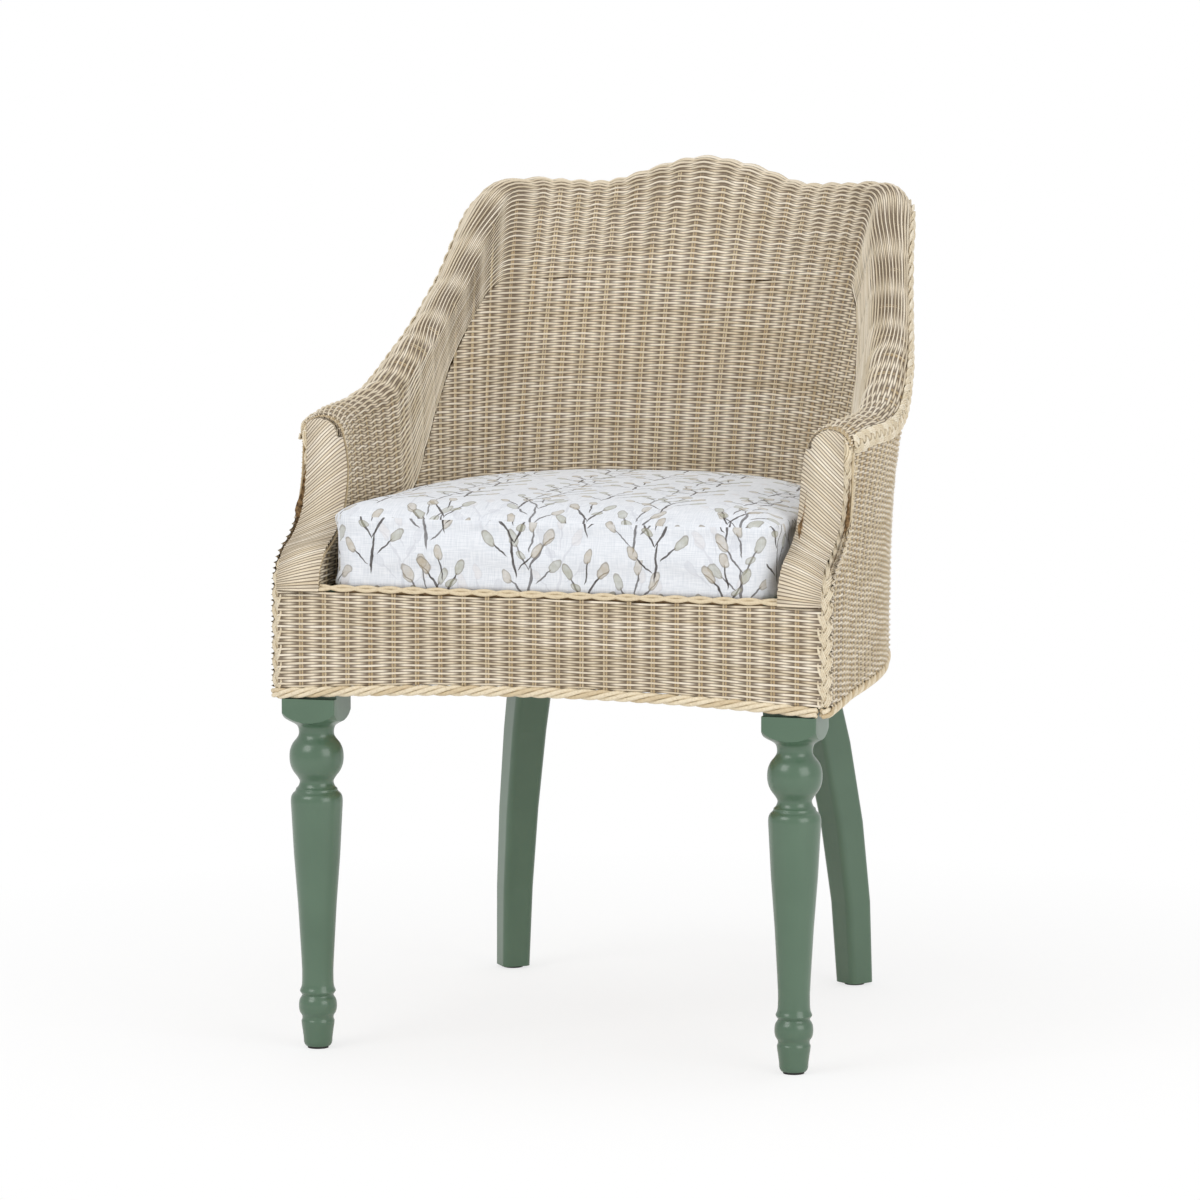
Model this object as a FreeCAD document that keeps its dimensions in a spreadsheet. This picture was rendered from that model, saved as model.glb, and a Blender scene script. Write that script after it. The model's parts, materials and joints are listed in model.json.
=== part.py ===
import FreeCAD, Part
import math
import os

# Rattan armchair: woven tub of back and arms on a bent seat rail, turned front legs, sabre rear legs,
# plaited edges and a loose boxed seat cushion. Lengths in mm, angles in degrees.
# Frame: +Z up, the front faces -Y, +X to the right of someone who looks at the front.
# Origin on the floor under the middle of the outline. Left and right are as seen from the front.

SIZES = [
    # woven tub
    ("arm_half_width", 283.5, "middle of the rolled edge at the arms, from the centre line"),
    ("crest_setback", 649.5, "front to the middle of the rolled edge at the crest"),
    ("arm_height", 667.0, "top of the arms"),
    ("shoulder_height", 885.5, "top of the back beside the arch"),
    ("crest_height", 912.0, "top of the arch in the middle of the back"),
    ("seat_half_width", 245.0, "inside of the tub at the front"),
    ("seat_depth", 495.5, "front to the inside of the back at deck height"),
    ("skirt_half_width", 300.5, "outside of the tub at the front corners"),
    ("skirt_depth", 561.5, "front to the outside of the back at the bottom"),
    ("apron_setback", 2.8, "front to the outer face of the apron"),
    ("apron_top", 485.0, "top of the apron and of the seat deck"),
    ("arm_front_setback", 102.5, "front to the flat upper part of the arm fronts"),
    ("weave_thickness", 7.2, "stake with a weaver on each side"),
    ("nose_rounding", 4.2, "how much smaller the rolled edge ends at the arm fronts"),
    # rods, plaits and borders
    ("pole_diameter", 33.6, "rod inside the rolled edge"),
    ("pole_gap", 1.0, "that rod to the weave round it"),
    ("post_diameter", 22.0, "rods that carry the rolled edge"),
    ("arm_post_diameter", 26.0, "upright at each arm front"),
    ("arm_post_half_spread", 271.5, "arm upright from the centre line"),
    ("arm_post_setback", 123.5, "front to the middle of the arm uprights"),
    ("hoop_diameter", 10.0, "rod inside the skirt's lower edge"),
    ("hoop_end_half_spread", 263.0, "end of that rod from the centre line"),
    ("hoop_tenon", 14.0, "how deep that rod goes into the front legs"),
    ("plait_drop", 2.5, "how far the plait along the rolled edge hangs below it"),
    ("plait_thickness", 3.0, "how far that plait stands out"),
    ("front_plait_width", 17.5, "plait along the front corners"),
    ("front_plait_thickness", 5.0, ""),
    ("border_diameter", 10.0, "twisted border along the bottom"),
    ("border_height", 376.5, "middle of the bottom border at the corners"),
    ("border_arch", 11.0, "rise of the bottom border in the middle of the front"),
    ("border_corner", 8.5, "bend of the bottom border at the front corners"),
    ("top_border_diameter", 7.0, "border along the apron's top"),
    # seat frame
    ("rail_height", 92.0, ""),
    ("front_rail_thickness", 22.0, ""),
    ("bent_rail_thickness", 19.0, "laminated rail round the sides and the back"),
    ("bent_rail_half_width", 286.0, "that rail's outer face at the front legs, from the centre line"),
    ("bent_rail_setback", 545.0, "front to that rail's rear face"),
    ("bent_rail_radius", 45.0, "outer radius of its bends"),
    ("side_rail_angle", 8.5, "how much its sides run in to the back"),
    ("corner_block_reach", 55.0, "how far the corner blocks reach along the rails"),
    ("corner_block_height", 45.0, ""),
    ("corner_block_drop", 12.0, "rail's lower edge to the corner blocks"),
    ("slat_thickness", 12.0, ""),
    ("slat_width", 58.0, ""),
    ("slat_end_gap", 3.0, "slat ends to the rails"),
    ("first_slat_gap", 5.0, "front legs to the first slat"),
    ("cleat_width", 18.0, "strips that carry the slats"),
    # front legs
    ("front_leg_spread", 257.0, "leg axis from the centre line"),
    ("front_leg_setback", 30.5, "front to the leg axis"),
    ("block_width", 57.5, "square blank of the front legs"),
    ("shoulder_turning", 360.0, "height where the turning ends and the square block starts"),
    # rear legs
    ("rear_foot_spread", 198.0, "foot from the centre line"),
    ("rear_foot_setback", 546.5, "front to the middle of the rear feet"),
    ("rear_leg_turn", 36.0, "direction in which the rear legs splay, from straight back"),
    ("sabre_radius", 1100.0, "radius of the rear legs' curve"),
    ("sabre_start", 1.5, "lean of the rear legs at the floor"),
    ("rear_foot_width", 32.0, ""),
    ("rear_leg_width", 43.0, "width of the rear legs at the seat frame"),
    ("rear_leg_edge", 7.0, "rounding of the rear legs' edges"),
    ("rear_leg_straight", 366.0, "height where the rear legs turn upright"),
    # glides and fasteners
    ("glide_thickness", 2.5, ""),
    ("glide_diameter", 22.0, ""),
    ("dowel_diameter", 10.0, ""),
    ("dowel_length", 44.0, ""),
    ("dowel_pitch", 46.0, "upper to lower dowel of a joint"),
    ("bolt_diameter", 8.0, ""),
    ("bolt_length", 48.0, ""),
    ("bolt_head_diameter", 18.0, ""),
    ("bolt_head_height", 4.0, ""),
    ("bolt_pitch", 32.0, ""),
    ("bolt_drop", 60.0, "rail's top to the middle of the bolts"),
    ("screw_diameter", 4.0, ""),
    ("screw_length", 28.0, ""),
    ("screw_head_diameter", 8.0, ""),
    ("screw_head_height", 2.2, ""),
    ("screw_end_distance", 9.0, "slat end to the screw"),
    # cushion
    ("cushion_half_width", 241.0, ""),
    ("cushion_setback", 10.8, "front to the front of the cushion"),
    ("cushion_thickness", 79.0, "between the seams"),
    ("cushion_crown", 13.0, "rise of the top above its seam"),
    ("cushion_corner", 24.0, "rounding of the front corners in plan"),
    ("cushion_drawn_in", 5.0, "how far the sides pull in between the seams"),
    ("cushion_rear_top", 497.0, "front to the back of the upper seam"),
    ("cushion_rear_low", 486.0, "front to the back of the lower seam"),
    ("cover_thickness", 2.5, ""),
    ("zip_length", 130.0, ""),
    ("zip_width", 6.0, ""),
    ("zip_thickness", 1.6, ""),
    ("zip_slider_length", 9.0, ""),
    ("zip_slider_width", 8.0, ""),
    ("zip_slider_thickness", 2.0, ""),
    ("zip_pull_length", 16.0, ""),
    ("zip_pull_width", 4.0, ""),
    ("zip_pull_thickness", 1.2, ""),
    # fits
    ("clearance", 0.3, "between curved or soft neighbours"),
    ("bore_play", 0.15, "round dowels, bolts and screws"),
    ("zip_play", 0.08, "slider to chain"),
    ("facet_join", 0.001, "points closer than this are one"),
    ("overrun", 5.0, "how far a cutting tool passes the wood"),
]

# Stations of one half, from the middle of the back to the front of the arm.
# Rolled edge: share of the half width, of the crest's setback, of the rise from arm to shoulder, of the arch.
ROLL_SHARES = [
    (0.000, 1.000, 1.000, 1.00), (0.169, 1.0015, 1.000, 0.66), (0.367, 0.997, 1.000, 0.00),
    (0.564, 0.984, 0.995, 0.00), (0.691, 0.961, 1.005, 0.00), (0.794, 0.897, 0.982, 0.00),
    (0.830, 0.825, 0.807, 0.00), (0.859, 0.768, 0.613, 0.00), (0.907, 0.682, 0.385, 0.00),
    (0.942, 0.612, 0.243, 0.00), (0.981, 0.497, 0.071, 0.00), (1.000, 0.374, 0.005, 0.00),
    (0.991, 0.256, -0.005, 0.00), (0.970, 0.176, -0.027, 0.00),
]
# Foot of the inner wall: share of the seat's half width and of its depth.
INNER_SHARES = [
    (0.000, 1.000), (0.180, 0.995), (0.371, 0.975), (0.559, 0.918), (0.657, 0.868), (0.718, 0.830),
    (0.763, 0.797), (0.808, 0.761), (0.861, 0.706), (0.902, 0.647), (0.947, 0.542), (0.971, 0.423),
    (0.988, 0.306), (1.000, 0.205),
]
# Foot of the outer wall: share of the skirt's half width and of its depth.
OUTER_SHARES = [
    (0.000, 1.000), (0.160, 0.999), (0.333, 0.997), (0.499, 0.993), (0.633, 0.984), (0.736, 0.964),
    (0.802, 0.923), (0.835, 0.863), (0.870, 0.7685), (0.9015, 0.683), (0.930, 0.564), (0.947, 0.434),
    (0.959, 0.284), (0.978, 0.170),
]
# Scroll of the arm front, seen from the side: share of its height above the deck and of its setback.
SCROLL_SHARES = [
    (0.000, 0.012), (0.096, 0.032), (0.172, 0.097), (0.248, 0.238), (0.318, 0.500), (0.408, 0.729),
    (0.503, 0.865), (0.675, 0.975), (0.873, 1.000), (0.960, 1.000),
]
SCROLL_TIP_SHARE = (1.100, 1.000)
# Turning of the front leg: radius as a share of half the blank, height as a share of the turning.
TURNING_SHARES = [
    (0.500, 0.006), (0.605, 0.070), (0.572, 0.080), (0.575, 0.088), (0.660, 0.100), (0.696, 0.119),
    (0.660, 0.138), (0.572, 0.151), (0.655, 0.162), (0.600, 0.174), (0.574, 0.200), (0.600, 0.272),
    (0.940, 0.712), (0.936, 0.733), (0.900, 0.744), (0.720, 0.757), (0.630, 0.768), (0.615, 0.783),
    (0.680, 0.796), (0.722, 0.799), (0.860, 0.814), (0.955, 0.833), (0.985, 0.855), (0.955, 0.877),
    (0.860, 0.895), (0.722, 0.909), (0.650, 0.919), (0.642, 0.934), (0.690, 0.946), (0.850, 0.956),
    (1.020, 0.963), (1.220, 0.974), (1.420, 0.994), (1.500, 1.010),
]
# Cushion outline from the front corner back: share of half width, share of depth, direction it faces.
CUSHION_SHARES = [
    (0.980, 0.410, 3.0), (0.908, 0.645, 14.0), (0.715, 0.842, 40.0), (0.505, 0.946, 62.0), (0.270, 1.000, 86.0),
]
# Crown of the cushion: share of the outline and of the crown's rise.
CROWN_SHARES = [(0.93, 0.45), (0.78, 0.80), (0.50, 0.97), (0.20, 1.00)]
CROWN_CENTRE_SHARE = 0.45
FOOT_EDGE_SHARE = 0.9
POST_STATIONS = [("back_post", 2), ("corner_post", 5), ("side_post", 9)]
# How late the walls lean out on their way up.
INNER_LEAN_POWER = 1.7
OUTER_LEAN_POWER = 2.4
ROLL_STEPS = 10
WALL_STEPS = 8
SLAT_COUNT = 6
SABRE_STEPS = 5
ROLL_END_ANGLE = 172.0
SKIN_TOP_LEAST = 8.0
PLAIT_TOP_ANGLE = 148.0
PLAIT_TURN = 22.0
PLAIT_STEPS = 4
# Extra columns of the woven sheets between two stations, counted from the middle of the back.
FILL_COLUMNS = (0, 0, 1, 1, 2, 2, 1, 1, 1, 1, 0, 0, 0)
ROD_SIDES = 10
PIN_SIDES = 6
LEG_SIDES = 20
POLE_END_SHARE = 0.16
CUSHION_STEPS = 9
FRONT_EDGE_SHARES = (-1, -0.65, -0.3, 0.3, 0.65, 1)
BOXING_LEVELS = (0, 0.2, 0.8, 1)
SCROLL_STEPS = 16

doc = FreeCAD.newDocument("rattan_chair")
sheet = doc.addObject("Spreadsheet::Sheet", "sizes")
sheet.Label = "sizes"
for row, (alias, value, note) in enumerate(SIZES, start=1):
    sheet.set("A%d" % row, alias + (": " + note if note else ""))
    sheet.set("B%d" % row, str(value))
    sheet.setAlias("B%d" % row, alias)
doc.recompute()

parts = {}


def size(alias):
    return float(sheet.get(alias))


def vector(x=0, y=0, z=0):
    return FreeCAD.Vector(x, y, z)


UP = vector(0, 0, 1)
SIDE = vector(1, 0, 0)
BACK = vector(0, 1, 0)
ROLL_RADIUS = size("pole_diameter") / 2 + size("pole_gap") + size("weave_thickness")
CHAIR_DEPTH = size("crest_setback") + ROLL_RADIUS + size("clearance") + size("plait_thickness")
DECK = size("apron_top")
SLAT_BOTTOM = DECK - size("slat_thickness")
RAIL_BOTTOM = DECK - size("rail_height")
BLOCK_FRONT = size("front_leg_setback") - size("block_width") / 2
BLOCK_REAR = size("front_leg_setback") + size("block_width") / 2
BLOCK_INSIDE = size("front_leg_spread") - size("block_width") / 2
APRON_BACK = size("apron_setback") + size("weave_thickness")
REBATE = APRON_BACK + size("clearance")
RAIL_REAR = REBATE + size("front_rail_thickness")
SIDES = ((-1, "_left"), (1, "_right"))


def from_front(setback):
    """Y of a place at this distance behind the foremost point."""
    return setback - CHAIR_DEPTH / 2


def keep(obj, label):
    """Remember a finished sub-part under the name of its node."""
    obj.Label = label
    parts[label] = obj
    return obj


def raw(name, shape):
    """A shape worked out by functions of Part, for use in other features."""
    obj = doc.addObject("Part::Feature", name)
    obj.Shape = shape
    return obj


def feature(label, shape):
    return keep(raw(label, shape), label)


def bored(label, base, tools):
    """Sub-part with the holes of its fasteners."""
    cut = doc.addObject("Part::Cut", label)
    cut.Base = base
    cut.Tool = tools
    return keep(cut, label)


def new_body(name, place=None):
    body = doc.addObject("PartDesign::Body", name)
    if place is not None:
        body.Placement = place
    return body


def origin_plane(owner, role):
    for plane in owner.Origin.OriginFeatures:
        if plane.Role == role:
            return plane


def new_sketch(owner, role, edges, height=0):
    """Sketch of ready edges on an origin plane of its body, moved along the plane's normal."""
    sketch = owner.newObject("Sketcher::SketchObject", "Sketch")
    sketch.AttachmentSupport = [(origin_plane(owner, role), "")]
    sketch.MapMode = "FlatFace"
    sketch.AttachmentOffset = FreeCAD.Placement(vector(0, 0, height), FreeCAD.Rotation())
    for edge in edges:
        sketch.addGeometry(edge, False)
    return sketch


def run_of_lines(points):
    """Closed run of straight lines through points."""
    return [Part.LineSegment(start, end) for start, end in zip(points, points[1:] + points[:1])]


def rounded_run(corners):
    """Closed run of lines with an arc at every corner of (point, radius)."""
    count = len(corners)
    spans = []
    for index, (point, radius) in enumerate(corners):
        before = corners[index - 1][0] - point
        after = corners[(index + 1) % count][0] - point
        half = before.getAngle(after) / 2
        before.normalize()
        after.normalize()
        reach = radius / math.tan(half)
        middle = before + after
        middle.normalize()
        deep = point + middle * (radius / math.sin(half) - radius)
        spans.append((point + before * reach, deep, point + after * reach, radius))
    edges = []
    for index, (start, deep, end, radius) in enumerate(spans):
        if radius > 0:
            edges.append(Part.Arc(start, deep, end))
        following = spans[(index + 1) % count][0]
        edges.append(Part.LineSegment(end, following))
    return edges


def pad(owner, sketch, length):
    """Pad by a length that is written with the names of the sizes."""
    solid = owner.newObject("PartDesign::Pad", "Pad")
    solid.Profile = sketch
    solid.setExpression("Length", length)
    return solid


def board(name, edges, bottom, length):
    """Upright prism over a run of edges."""
    body = new_body(name)
    pad(body, new_sketch(body, "XY_Plane", edges, bottom), length)
    return body


def spline_through(points):
    curve = Part.BSplineCurve()
    curve.interpolate(points)
    return curve


def faceted(points, facets):
    """Solid closed by flat facets, which keeps wide curved sheets and bent rods light."""
    shape = Part.Shape()
    shape.makeShapeFromMesh((points, facets), size("facet_join"))
    solid = Part.makeSolid(shape)
    if solid.Volume < 0:
        solid.reverse()
    return solid


def tube_of(rings):
    """Solid through rings of as many points each, closed by a flat end at either side."""
    sides = len(rings[0])
    points = [point for ring in rings for point in ring]
    facets = []
    for row in range(len(rings) - 1):
        for side in range(sides):
            a = row * sides + side
            b = row * sides + (side + 1) % sides
            facets.extend([(a, b, b + sides), (a, b + sides, a + sides)])
    last = (len(rings) - 1) * sides
    for side in range(1, sides - 1):
        facets.append((0, side + 1, side))
        facets.append((last, last + side, last + side + 1))
    return faceted(points, facets)


def circle_points(centre, across, over, radius, sides):
    turns = [2 * math.pi * side / sides for side in range(sides)]
    return [centre + (across * math.cos(turn) + over * math.sin(turn)) * radius for turn in turns]


def rod(points, diameter):
    """Round rod along a smooth line through points."""
    curve = spline_through(points)
    rings = []
    for point in points:
        along = FreeCAD.Vector(*curve.tangent(curve.parameter(point))[0])
        across = along.cross(UP if abs(along.z) < 0.9 else SIDE)
        across.normalize()
        rings.append(circle_points(point, across, across.cross(along), diameter / 2, ROD_SIDES))
    return tube_of(rings)


def pin(centre, direction, diameter, length, sides=PIN_SIDES):
    """Straight pin about its middle, with flats in place of a round."""
    across = direction.cross(UP if abs(direction.z) < 0.9 else SIDE)
    across.normalize()
    ring = circle_points(centre - direction * (length / 2), across, across.cross(direction), diameter / 2, sides)
    return Part.Face(Part.makePolygon(ring + ring[:1])).extrude(direction * length)


def moved_in(points, distance):
    """Points of a level line, moved square to it towards the seat."""
    curve = spline_through(points)
    moved = []
    for point in points:
        along = FreeCAD.Vector(*curve.tangent(curve.parameter(point))[0])
        moved.append(point - vector(-along.y, along.x) * distance)
    return moved


def both_sides(half):
    """Stations from the left arm round the back to the right arm, from those of the right half."""
    left = [(-entry[0],) + tuple(entry[1:]) for entry in half[:0:-1]]
    return left + list(half)


# Shape of the tub

def roll_centres():
    """Middle of the rolled edge at every station, left to right."""
    centres = []
    for side, back, rise, arch in both_sides(ROLL_SHARES):
        height = size("arm_height") - ROLL_RADIUS
        height += rise * (size("shoulder_height") - size("arm_height"))
        height += arch * (size("crest_height") - size("shoulder_height"))
        centres.append(vector(side * size("arm_half_width"), from_front(back * size("crest_setback")), height))
    return centres


def wall_feet(shares, half_width, depth, height):
    return [vector(side * size(half_width), from_front(back * size(depth)), height)
            for side, back in both_sides(shares)]


def roll_frames(centres):
    """Outward and upward directions, square to the rolled edge, at every station."""
    curve = spline_through(centres)
    frames = []
    for centre in centres:
        tangent = FreeCAD.Vector(*curve.tangent(curve.parameter(centre))[0])
        outward = vector(-tangent.y, tangent.x)
        outward.normalize()
        upward = tangent.cross(outward)
        if upward.z < 0:
            upward = upward * -1
        upward.normalize()
        frames.append((outward, upward))
    return frames


def on_roll(centre, frame, radius, angle):
    """Point on the rolled edge: 0 faces the seat, 90 is on top, 180 faces out."""
    turn = math.radians(angle)
    return centre - frame[0] * (radius * math.cos(turn)) + frame[1] * (radius * math.sin(turn))


def on_wall(foot, head, power, share):
    """Point of a wall that leaves its foot upright and leans over more and more up to its head."""
    lean = share ** power
    return vector(foot.x + (head.x - foot.x) * lean, foot.y + (head.y - foot.y) * lean,
                  foot.z + (head.z - foot.z) * share)


def rising_wall(foot, head, power):
    return [on_wall(foot, head, power, step / WALL_STEPS) for step in range(WALL_STEPS)]


def scroll_point(share):
    """Place on the arm front's side view, on the middle plane."""
    rise = size("arm_height") - ROLL_RADIUS - DECK
    reach = size("arm_front_setback") - size("apron_setback")
    low = DECK + size("clearance")
    return vector(0, from_front(size("apron_setback") + share[1] * reach), low + share[0] * rise)


def resample(points, count):
    return spline_through(points).discretize(Number=count)


CENTRES = roll_centres()
FRAMES = roll_frames(CENTRES)
INNER_FEET = wall_feet(INNER_SHARES, "seat_half_width", "seat_depth", DECK + size("clearance"))
SKIN_BOTTOM = size("border_height") + size("border_diameter") / 2 + size("clearance")
OUTER_FEET = wall_feet(OUTER_SHARES, "skirt_half_width", "skirt_depth", SKIN_BOTTOM)
MIDDLE = len(ROLL_SHARES) - 1
PLAIT_INSET = size("front_plait_width") * math.sqrt(0.5)
PLAIT_TUCK = PLAIT_INSET + size("front_plait_thickness") * math.sqrt(0.5) + 2 * size("clearance")


def inner_lean(station):
    """Angle on the rolled edge where the inner wall meets it."""
    foot, centre = INNER_FEET[station], CENTRES[station]
    run = math.hypot(centre.x - foot.x, centre.y - foot.y) - ROLL_RADIUS
    return math.degrees(math.atan(INNER_LEAN_POWER * max(run, 0) / (centre.z - foot.z)))


def inner_head(station):
    return on_roll(CENTRES[station], FRAMES[station], ROLL_RADIUS, inner_lean(station))


def outer_lean(station):
    """How far beyond the outermost point of the rolled edge the outer skin meets it."""
    foot, centre = OUTER_FEET[station], CENTRES[station]
    run = (centre - foot).dot(FRAMES[station][0]) + ROLL_RADIUS
    lean = math.degrees(math.atan(OUTER_LEAN_POWER * max(run, 0) / (centre.z - foot.z)))
    return max(lean, SKIN_TOP_LEAST)


def outer_head(station):
    return on_roll(CENTRES[station], FRAMES[station], ROLL_RADIUS, 180 + outer_lean(station))


def inner_column(station):
    """One stake line: up the inner wall and over the rolled edge."""
    lean = inner_lean(station)
    points = rising_wall(INNER_FEET[station], inner_head(station), INNER_LEAN_POWER)
    for step in range(ROLL_STEPS):
        angle = lean + (ROLL_END_ANGLE - lean) * step / (ROLL_STEPS - 1)
        points.append(on_roll(CENTRES[station], FRAMES[station], ROLL_RADIUS, angle))
    return points


def front_column(side):
    """The stake line at the arm front, which follows the scroll and then rounds over the arm's end."""
    station = 0 if side < 0 else -1
    wall = resample([scroll_point(share) for share in SCROLL_SHARES], WALL_STEPS + 1)[:-1]
    points = [vector(side * size("seat_half_width"), point.y, point.z) for point in wall]
    nose = vector(CENTRES[station].x, from_front(size("arm_front_setback")), CENTRES[station].z)
    for step in range(ROLL_STEPS):
        angle = ROLL_END_ANGLE * step / (ROLL_STEPS - 1)
        radius = ROLL_RADIUS - size("nose_rounding") * math.sin(math.radians(min(angle, 90)))
        points.append(on_roll(nose, (vector(side), UP), radius, angle))
    return points


def outer_column(station):
    """One stake line of the outer skin, from the skirt's edge up to the plait."""
    head = outer_head(station)
    return rising_wall(OUTER_FEET[station], head, OUTER_LEAN_POWER) + [head]


def skin_front_x(height):
    """Distance of the outer skin's front edge from the middle plane at a height."""
    head = outer_head(-1)
    share = min(max((height - SKIN_BOTTOM) / (head.z - SKIN_BOTTOM), 0), 1)
    return size("skirt_half_width") + (head.x - size("skirt_half_width")) * share ** OUTER_LEAN_POWER


def front_edge():
    """Side view of the front edge from the skirt's lower edge up the scroll."""
    apron_foot = vector(0, from_front(size("apron_setback")), SKIN_BOTTOM)
    apron_middle = vector(0, apron_foot.y, (SKIN_BOTTOM + DECK) / 2)
    return [apron_foot, apron_middle] + [scroll_point(share) for share in SCROLL_SHARES]


def outer_front_column(side):
    """The front edge of the outer skin, which follows the scroll behind the corner plait."""
    head = outer_head(-1)
    edge = [point for point in front_edge() if point.z < head.z]
    edge.append(vector(0, from_front(size("arm_front_setback")), head.z))
    wall = resample(edge, WALL_STEPS + 1)
    return [vector(side * skin_front_x(point.z), point.y + PLAIT_TUCK, point.z) for point in wall]


def grid_normals(grid, flat_foot):
    rows, columns = len(grid), len(grid[0])
    normals = []
    for i in range(rows):
        line = []
        for j in range(columns):
            along = grid[min(i + 1, rows - 1)][j] - grid[max(i - 1, 0)][j]
            across = grid[i][min(j + 1, columns - 1)] - grid[i][max(j - 1, 0)]
            normal = along.cross(across)
            if flat_foot and j == 0:
                normal.z = 0
            normal.normalize()
            line.append(normal)
        normals.append(line)
    return normals


def sheet_of(grid, thickness, flat_foot=True):
    """Closed sheet of even thickness beside a grid of points on one of its faces."""
    normals = grid_normals(grid, flat_foot)
    rows, columns = len(grid), len(grid[0])
    points = [point for line in grid for point in line]
    points += [point + normal * thickness for line, across in zip(grid, normals)
               for point, normal in zip(line, across)]
    far = rows * columns
    facets = []
    for i in range(rows - 1):
        for j in range(columns - 1):
            a, b = i * columns + j, (i + 1) * columns + j
            facets.extend([(a, b, b + 1), (a, b + 1, a + 1)])
            facets.extend([(far + a, far + b + 1, far + b), (far + a, far + a + 1, far + b + 1)])
    rim = [j for j in range(columns)] + [i * columns + columns - 1 for i in range(1, rows)]
    rim += [(rows - 1) * columns + j for j in range(columns - 2, -1, -1)]
    rim += [i * columns for i in range(rows - 2, 0, -1)]
    for a, b in zip(rim, rim[1:] + rim[:1]):
        facets.extend([(a, b, far + b), (a, far + b, far + a)])
    return faceted(points, facets)


def filled(columns):
    """Columns with extra ones between the stations where the walls bend most."""
    fills = FILL_COLUMNS[::-1] + FILL_COLUMNS
    rows = [spline_through([column[row] for column in columns]) for row in range(len(columns[0]))]
    result = []
    for index, column in enumerate(columns):
        result.append(column)
        if index < len(fills):
            extra = fills[index]
            for step in range(1, extra + 1):
                line = []
                for row, curve in enumerate(rows):
                    start, end = curve.parameter(column[row]), curve.parameter(columns[index + 1][row])
                    line.append(curve.value(start + (end - start) * step / (extra + 1)))
                result.append(line)
    return result


# Woven parts

def inner_shell():
    columns = filled([inner_column(k) for k in range(len(CENTRES))])
    columns = [front_column(-1)] + columns + [front_column(1)]
    feature("inner_shell", sheet_of(columns, -size("weave_thickness")))


def outer_skin():
    columns = filled([outer_column(k) for k in range(len(CENTRES))])
    columns = [outer_front_column(-1)] + columns + [outer_front_column(1)]
    feature("outer_skin", sheet_of(columns, size("weave_thickness")))


def arm_fronts():
    """Panels that close the arms, cut to the scroll in the side view and to an arch in the front view."""
    thickness = size("weave_thickness")
    curve = spline_through([scroll_point(share) for share in SCROLL_SHARES + [SCROLL_TIP_SHARE]])
    face = curve.discretize(Number=SCROLL_STEPS)
    rear = []
    for point in face:
        tangent = FreeCAD.Vector(*curve.tangent(curve.parameter(point))[0])
        rear.append(point + vector(0, tangent.z, -tangent.y) * thickness)
    rear[0] = vector(0, face[0].y + thickness, face[0].z)
    profile = Part.Face(Part.makePolygon(face + rear[::-1] + face[:1]))
    nose = CENTRES[-1]
    radius = ROLL_RADIUS - size("nose_rounding") - thickness - size("clearance")
    inside = size("seat_half_width") + thickness + size("clearance")
    outside = skin_front_x(nose.z) - PLAIT_TUCK
    for side, suffix in SIDES:
        panel = profile.extrude(SIDE * size("skirt_half_width"))
        start = from_front(0)
        arch_end = outside - nose.x
        arch_top = math.sqrt(radius ** 2 - arch_end ** 2)
        turn = math.radians(165)
        points = [vector(inside, start, DECK), vector(outside, start, DECK),
                  vector(outside, start, nose.z + arch_top)]
        left_foot = vector(nose.x + radius * math.cos(turn), start, nose.z + radius * math.sin(turn))
        outline = [Part.LineSegment(points[0], points[1]).toShape(), Part.LineSegment(points[1], points[2]).toShape()]
        outline.append(Part.Arc(points[2], vector(nose.x, start, nose.z + radius), left_foot).toShape())
        lean = vector(inner_head(-1).x + thickness + size("clearance"), start, DECK * 0.7 + nose.z * 0.3)
        outline.append(Part.LineSegment(left_foot, lean).toShape())
        outline.append(Part.LineSegment(lean, points[0]).toShape())
        front_view = Part.Face(Part.Wire(outline)).extrude(BACK * size("crest_setback"))
        panel = panel.common(front_view)
        if side < 0:
            panel = panel.mirror(vector(), SIDE)
        feature("arm_front" + suffix, panel.Solids[0])


def apron_half_width():
    return size("skirt_half_width") - PLAIT_TUCK


def apron():
    """Front panel with an arched lower edge."""
    half = apron_half_width()
    arch = vector(0, SKIN_BOTTOM + size("border_arch"))
    low_left, low_right = vector(-half, SKIN_BOTTOM), vector(half, SKIN_BOTTOM)
    top_right, top_left = vector(half, DECK), vector(-half, DECK)
    edges = [Part.Arc(low_left, arch, low_right), Part.LineSegment(low_right, top_right),
             Part.LineSegment(top_right, top_left), Part.LineSegment(top_left, low_left)]
    body = new_body("Apron")
    sketch = new_sketch(body, "XZ_Plane", edges, -from_front(APRON_BACK))
    pad(body, sketch, "sizes.weave_thickness")
    keep(body, "apron_front")


def apron_top_border():
    radius = size("top_border_diameter") / 2
    body = new_body("TopBorder")
    centre = vector(from_front(size("apron_setback") + radius), DECK + size("clearance") + radius)
    reach = size("seat_half_width") - size("clearance")
    sketch = new_sketch(body, "YZ_Plane", [Part.Circle(centre, UP, radius)], -reach)
    pad(body, sketch, "2 * (sizes.seat_half_width - sizes.clearance)")
    keep(body, "apron_top_border")


def front_plaits():
    """Plaits that face half forward and half outward along the front corners."""
    edge = front_edge()
    edge[0] = edge[0] + UP * (2 * size("clearance"))
    points = resample(edge, WALL_STEPS * 2)
    curve = spline_through(edge)
    for side, suffix in SIDES:
        grid = []
        for point in points:
            tangent = FreeCAD.Vector(*curve.tangent(curve.parameter(point))[0])
            inward = vector(0, tangent.z, -tangent.y)
            outer_x = skin_front_x(point.z)
            near = vector(side * (outer_x - PLAIT_INSET), point.y, point.z)
            far = vector(side * outer_x, point.y, point.z) + inward * PLAIT_INSET
            grid.append([near, (near + far) * 0.5, far])
        feature("front_braid" + suffix, sheet_of(grid, side * size("front_plait_thickness"), False))


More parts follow.
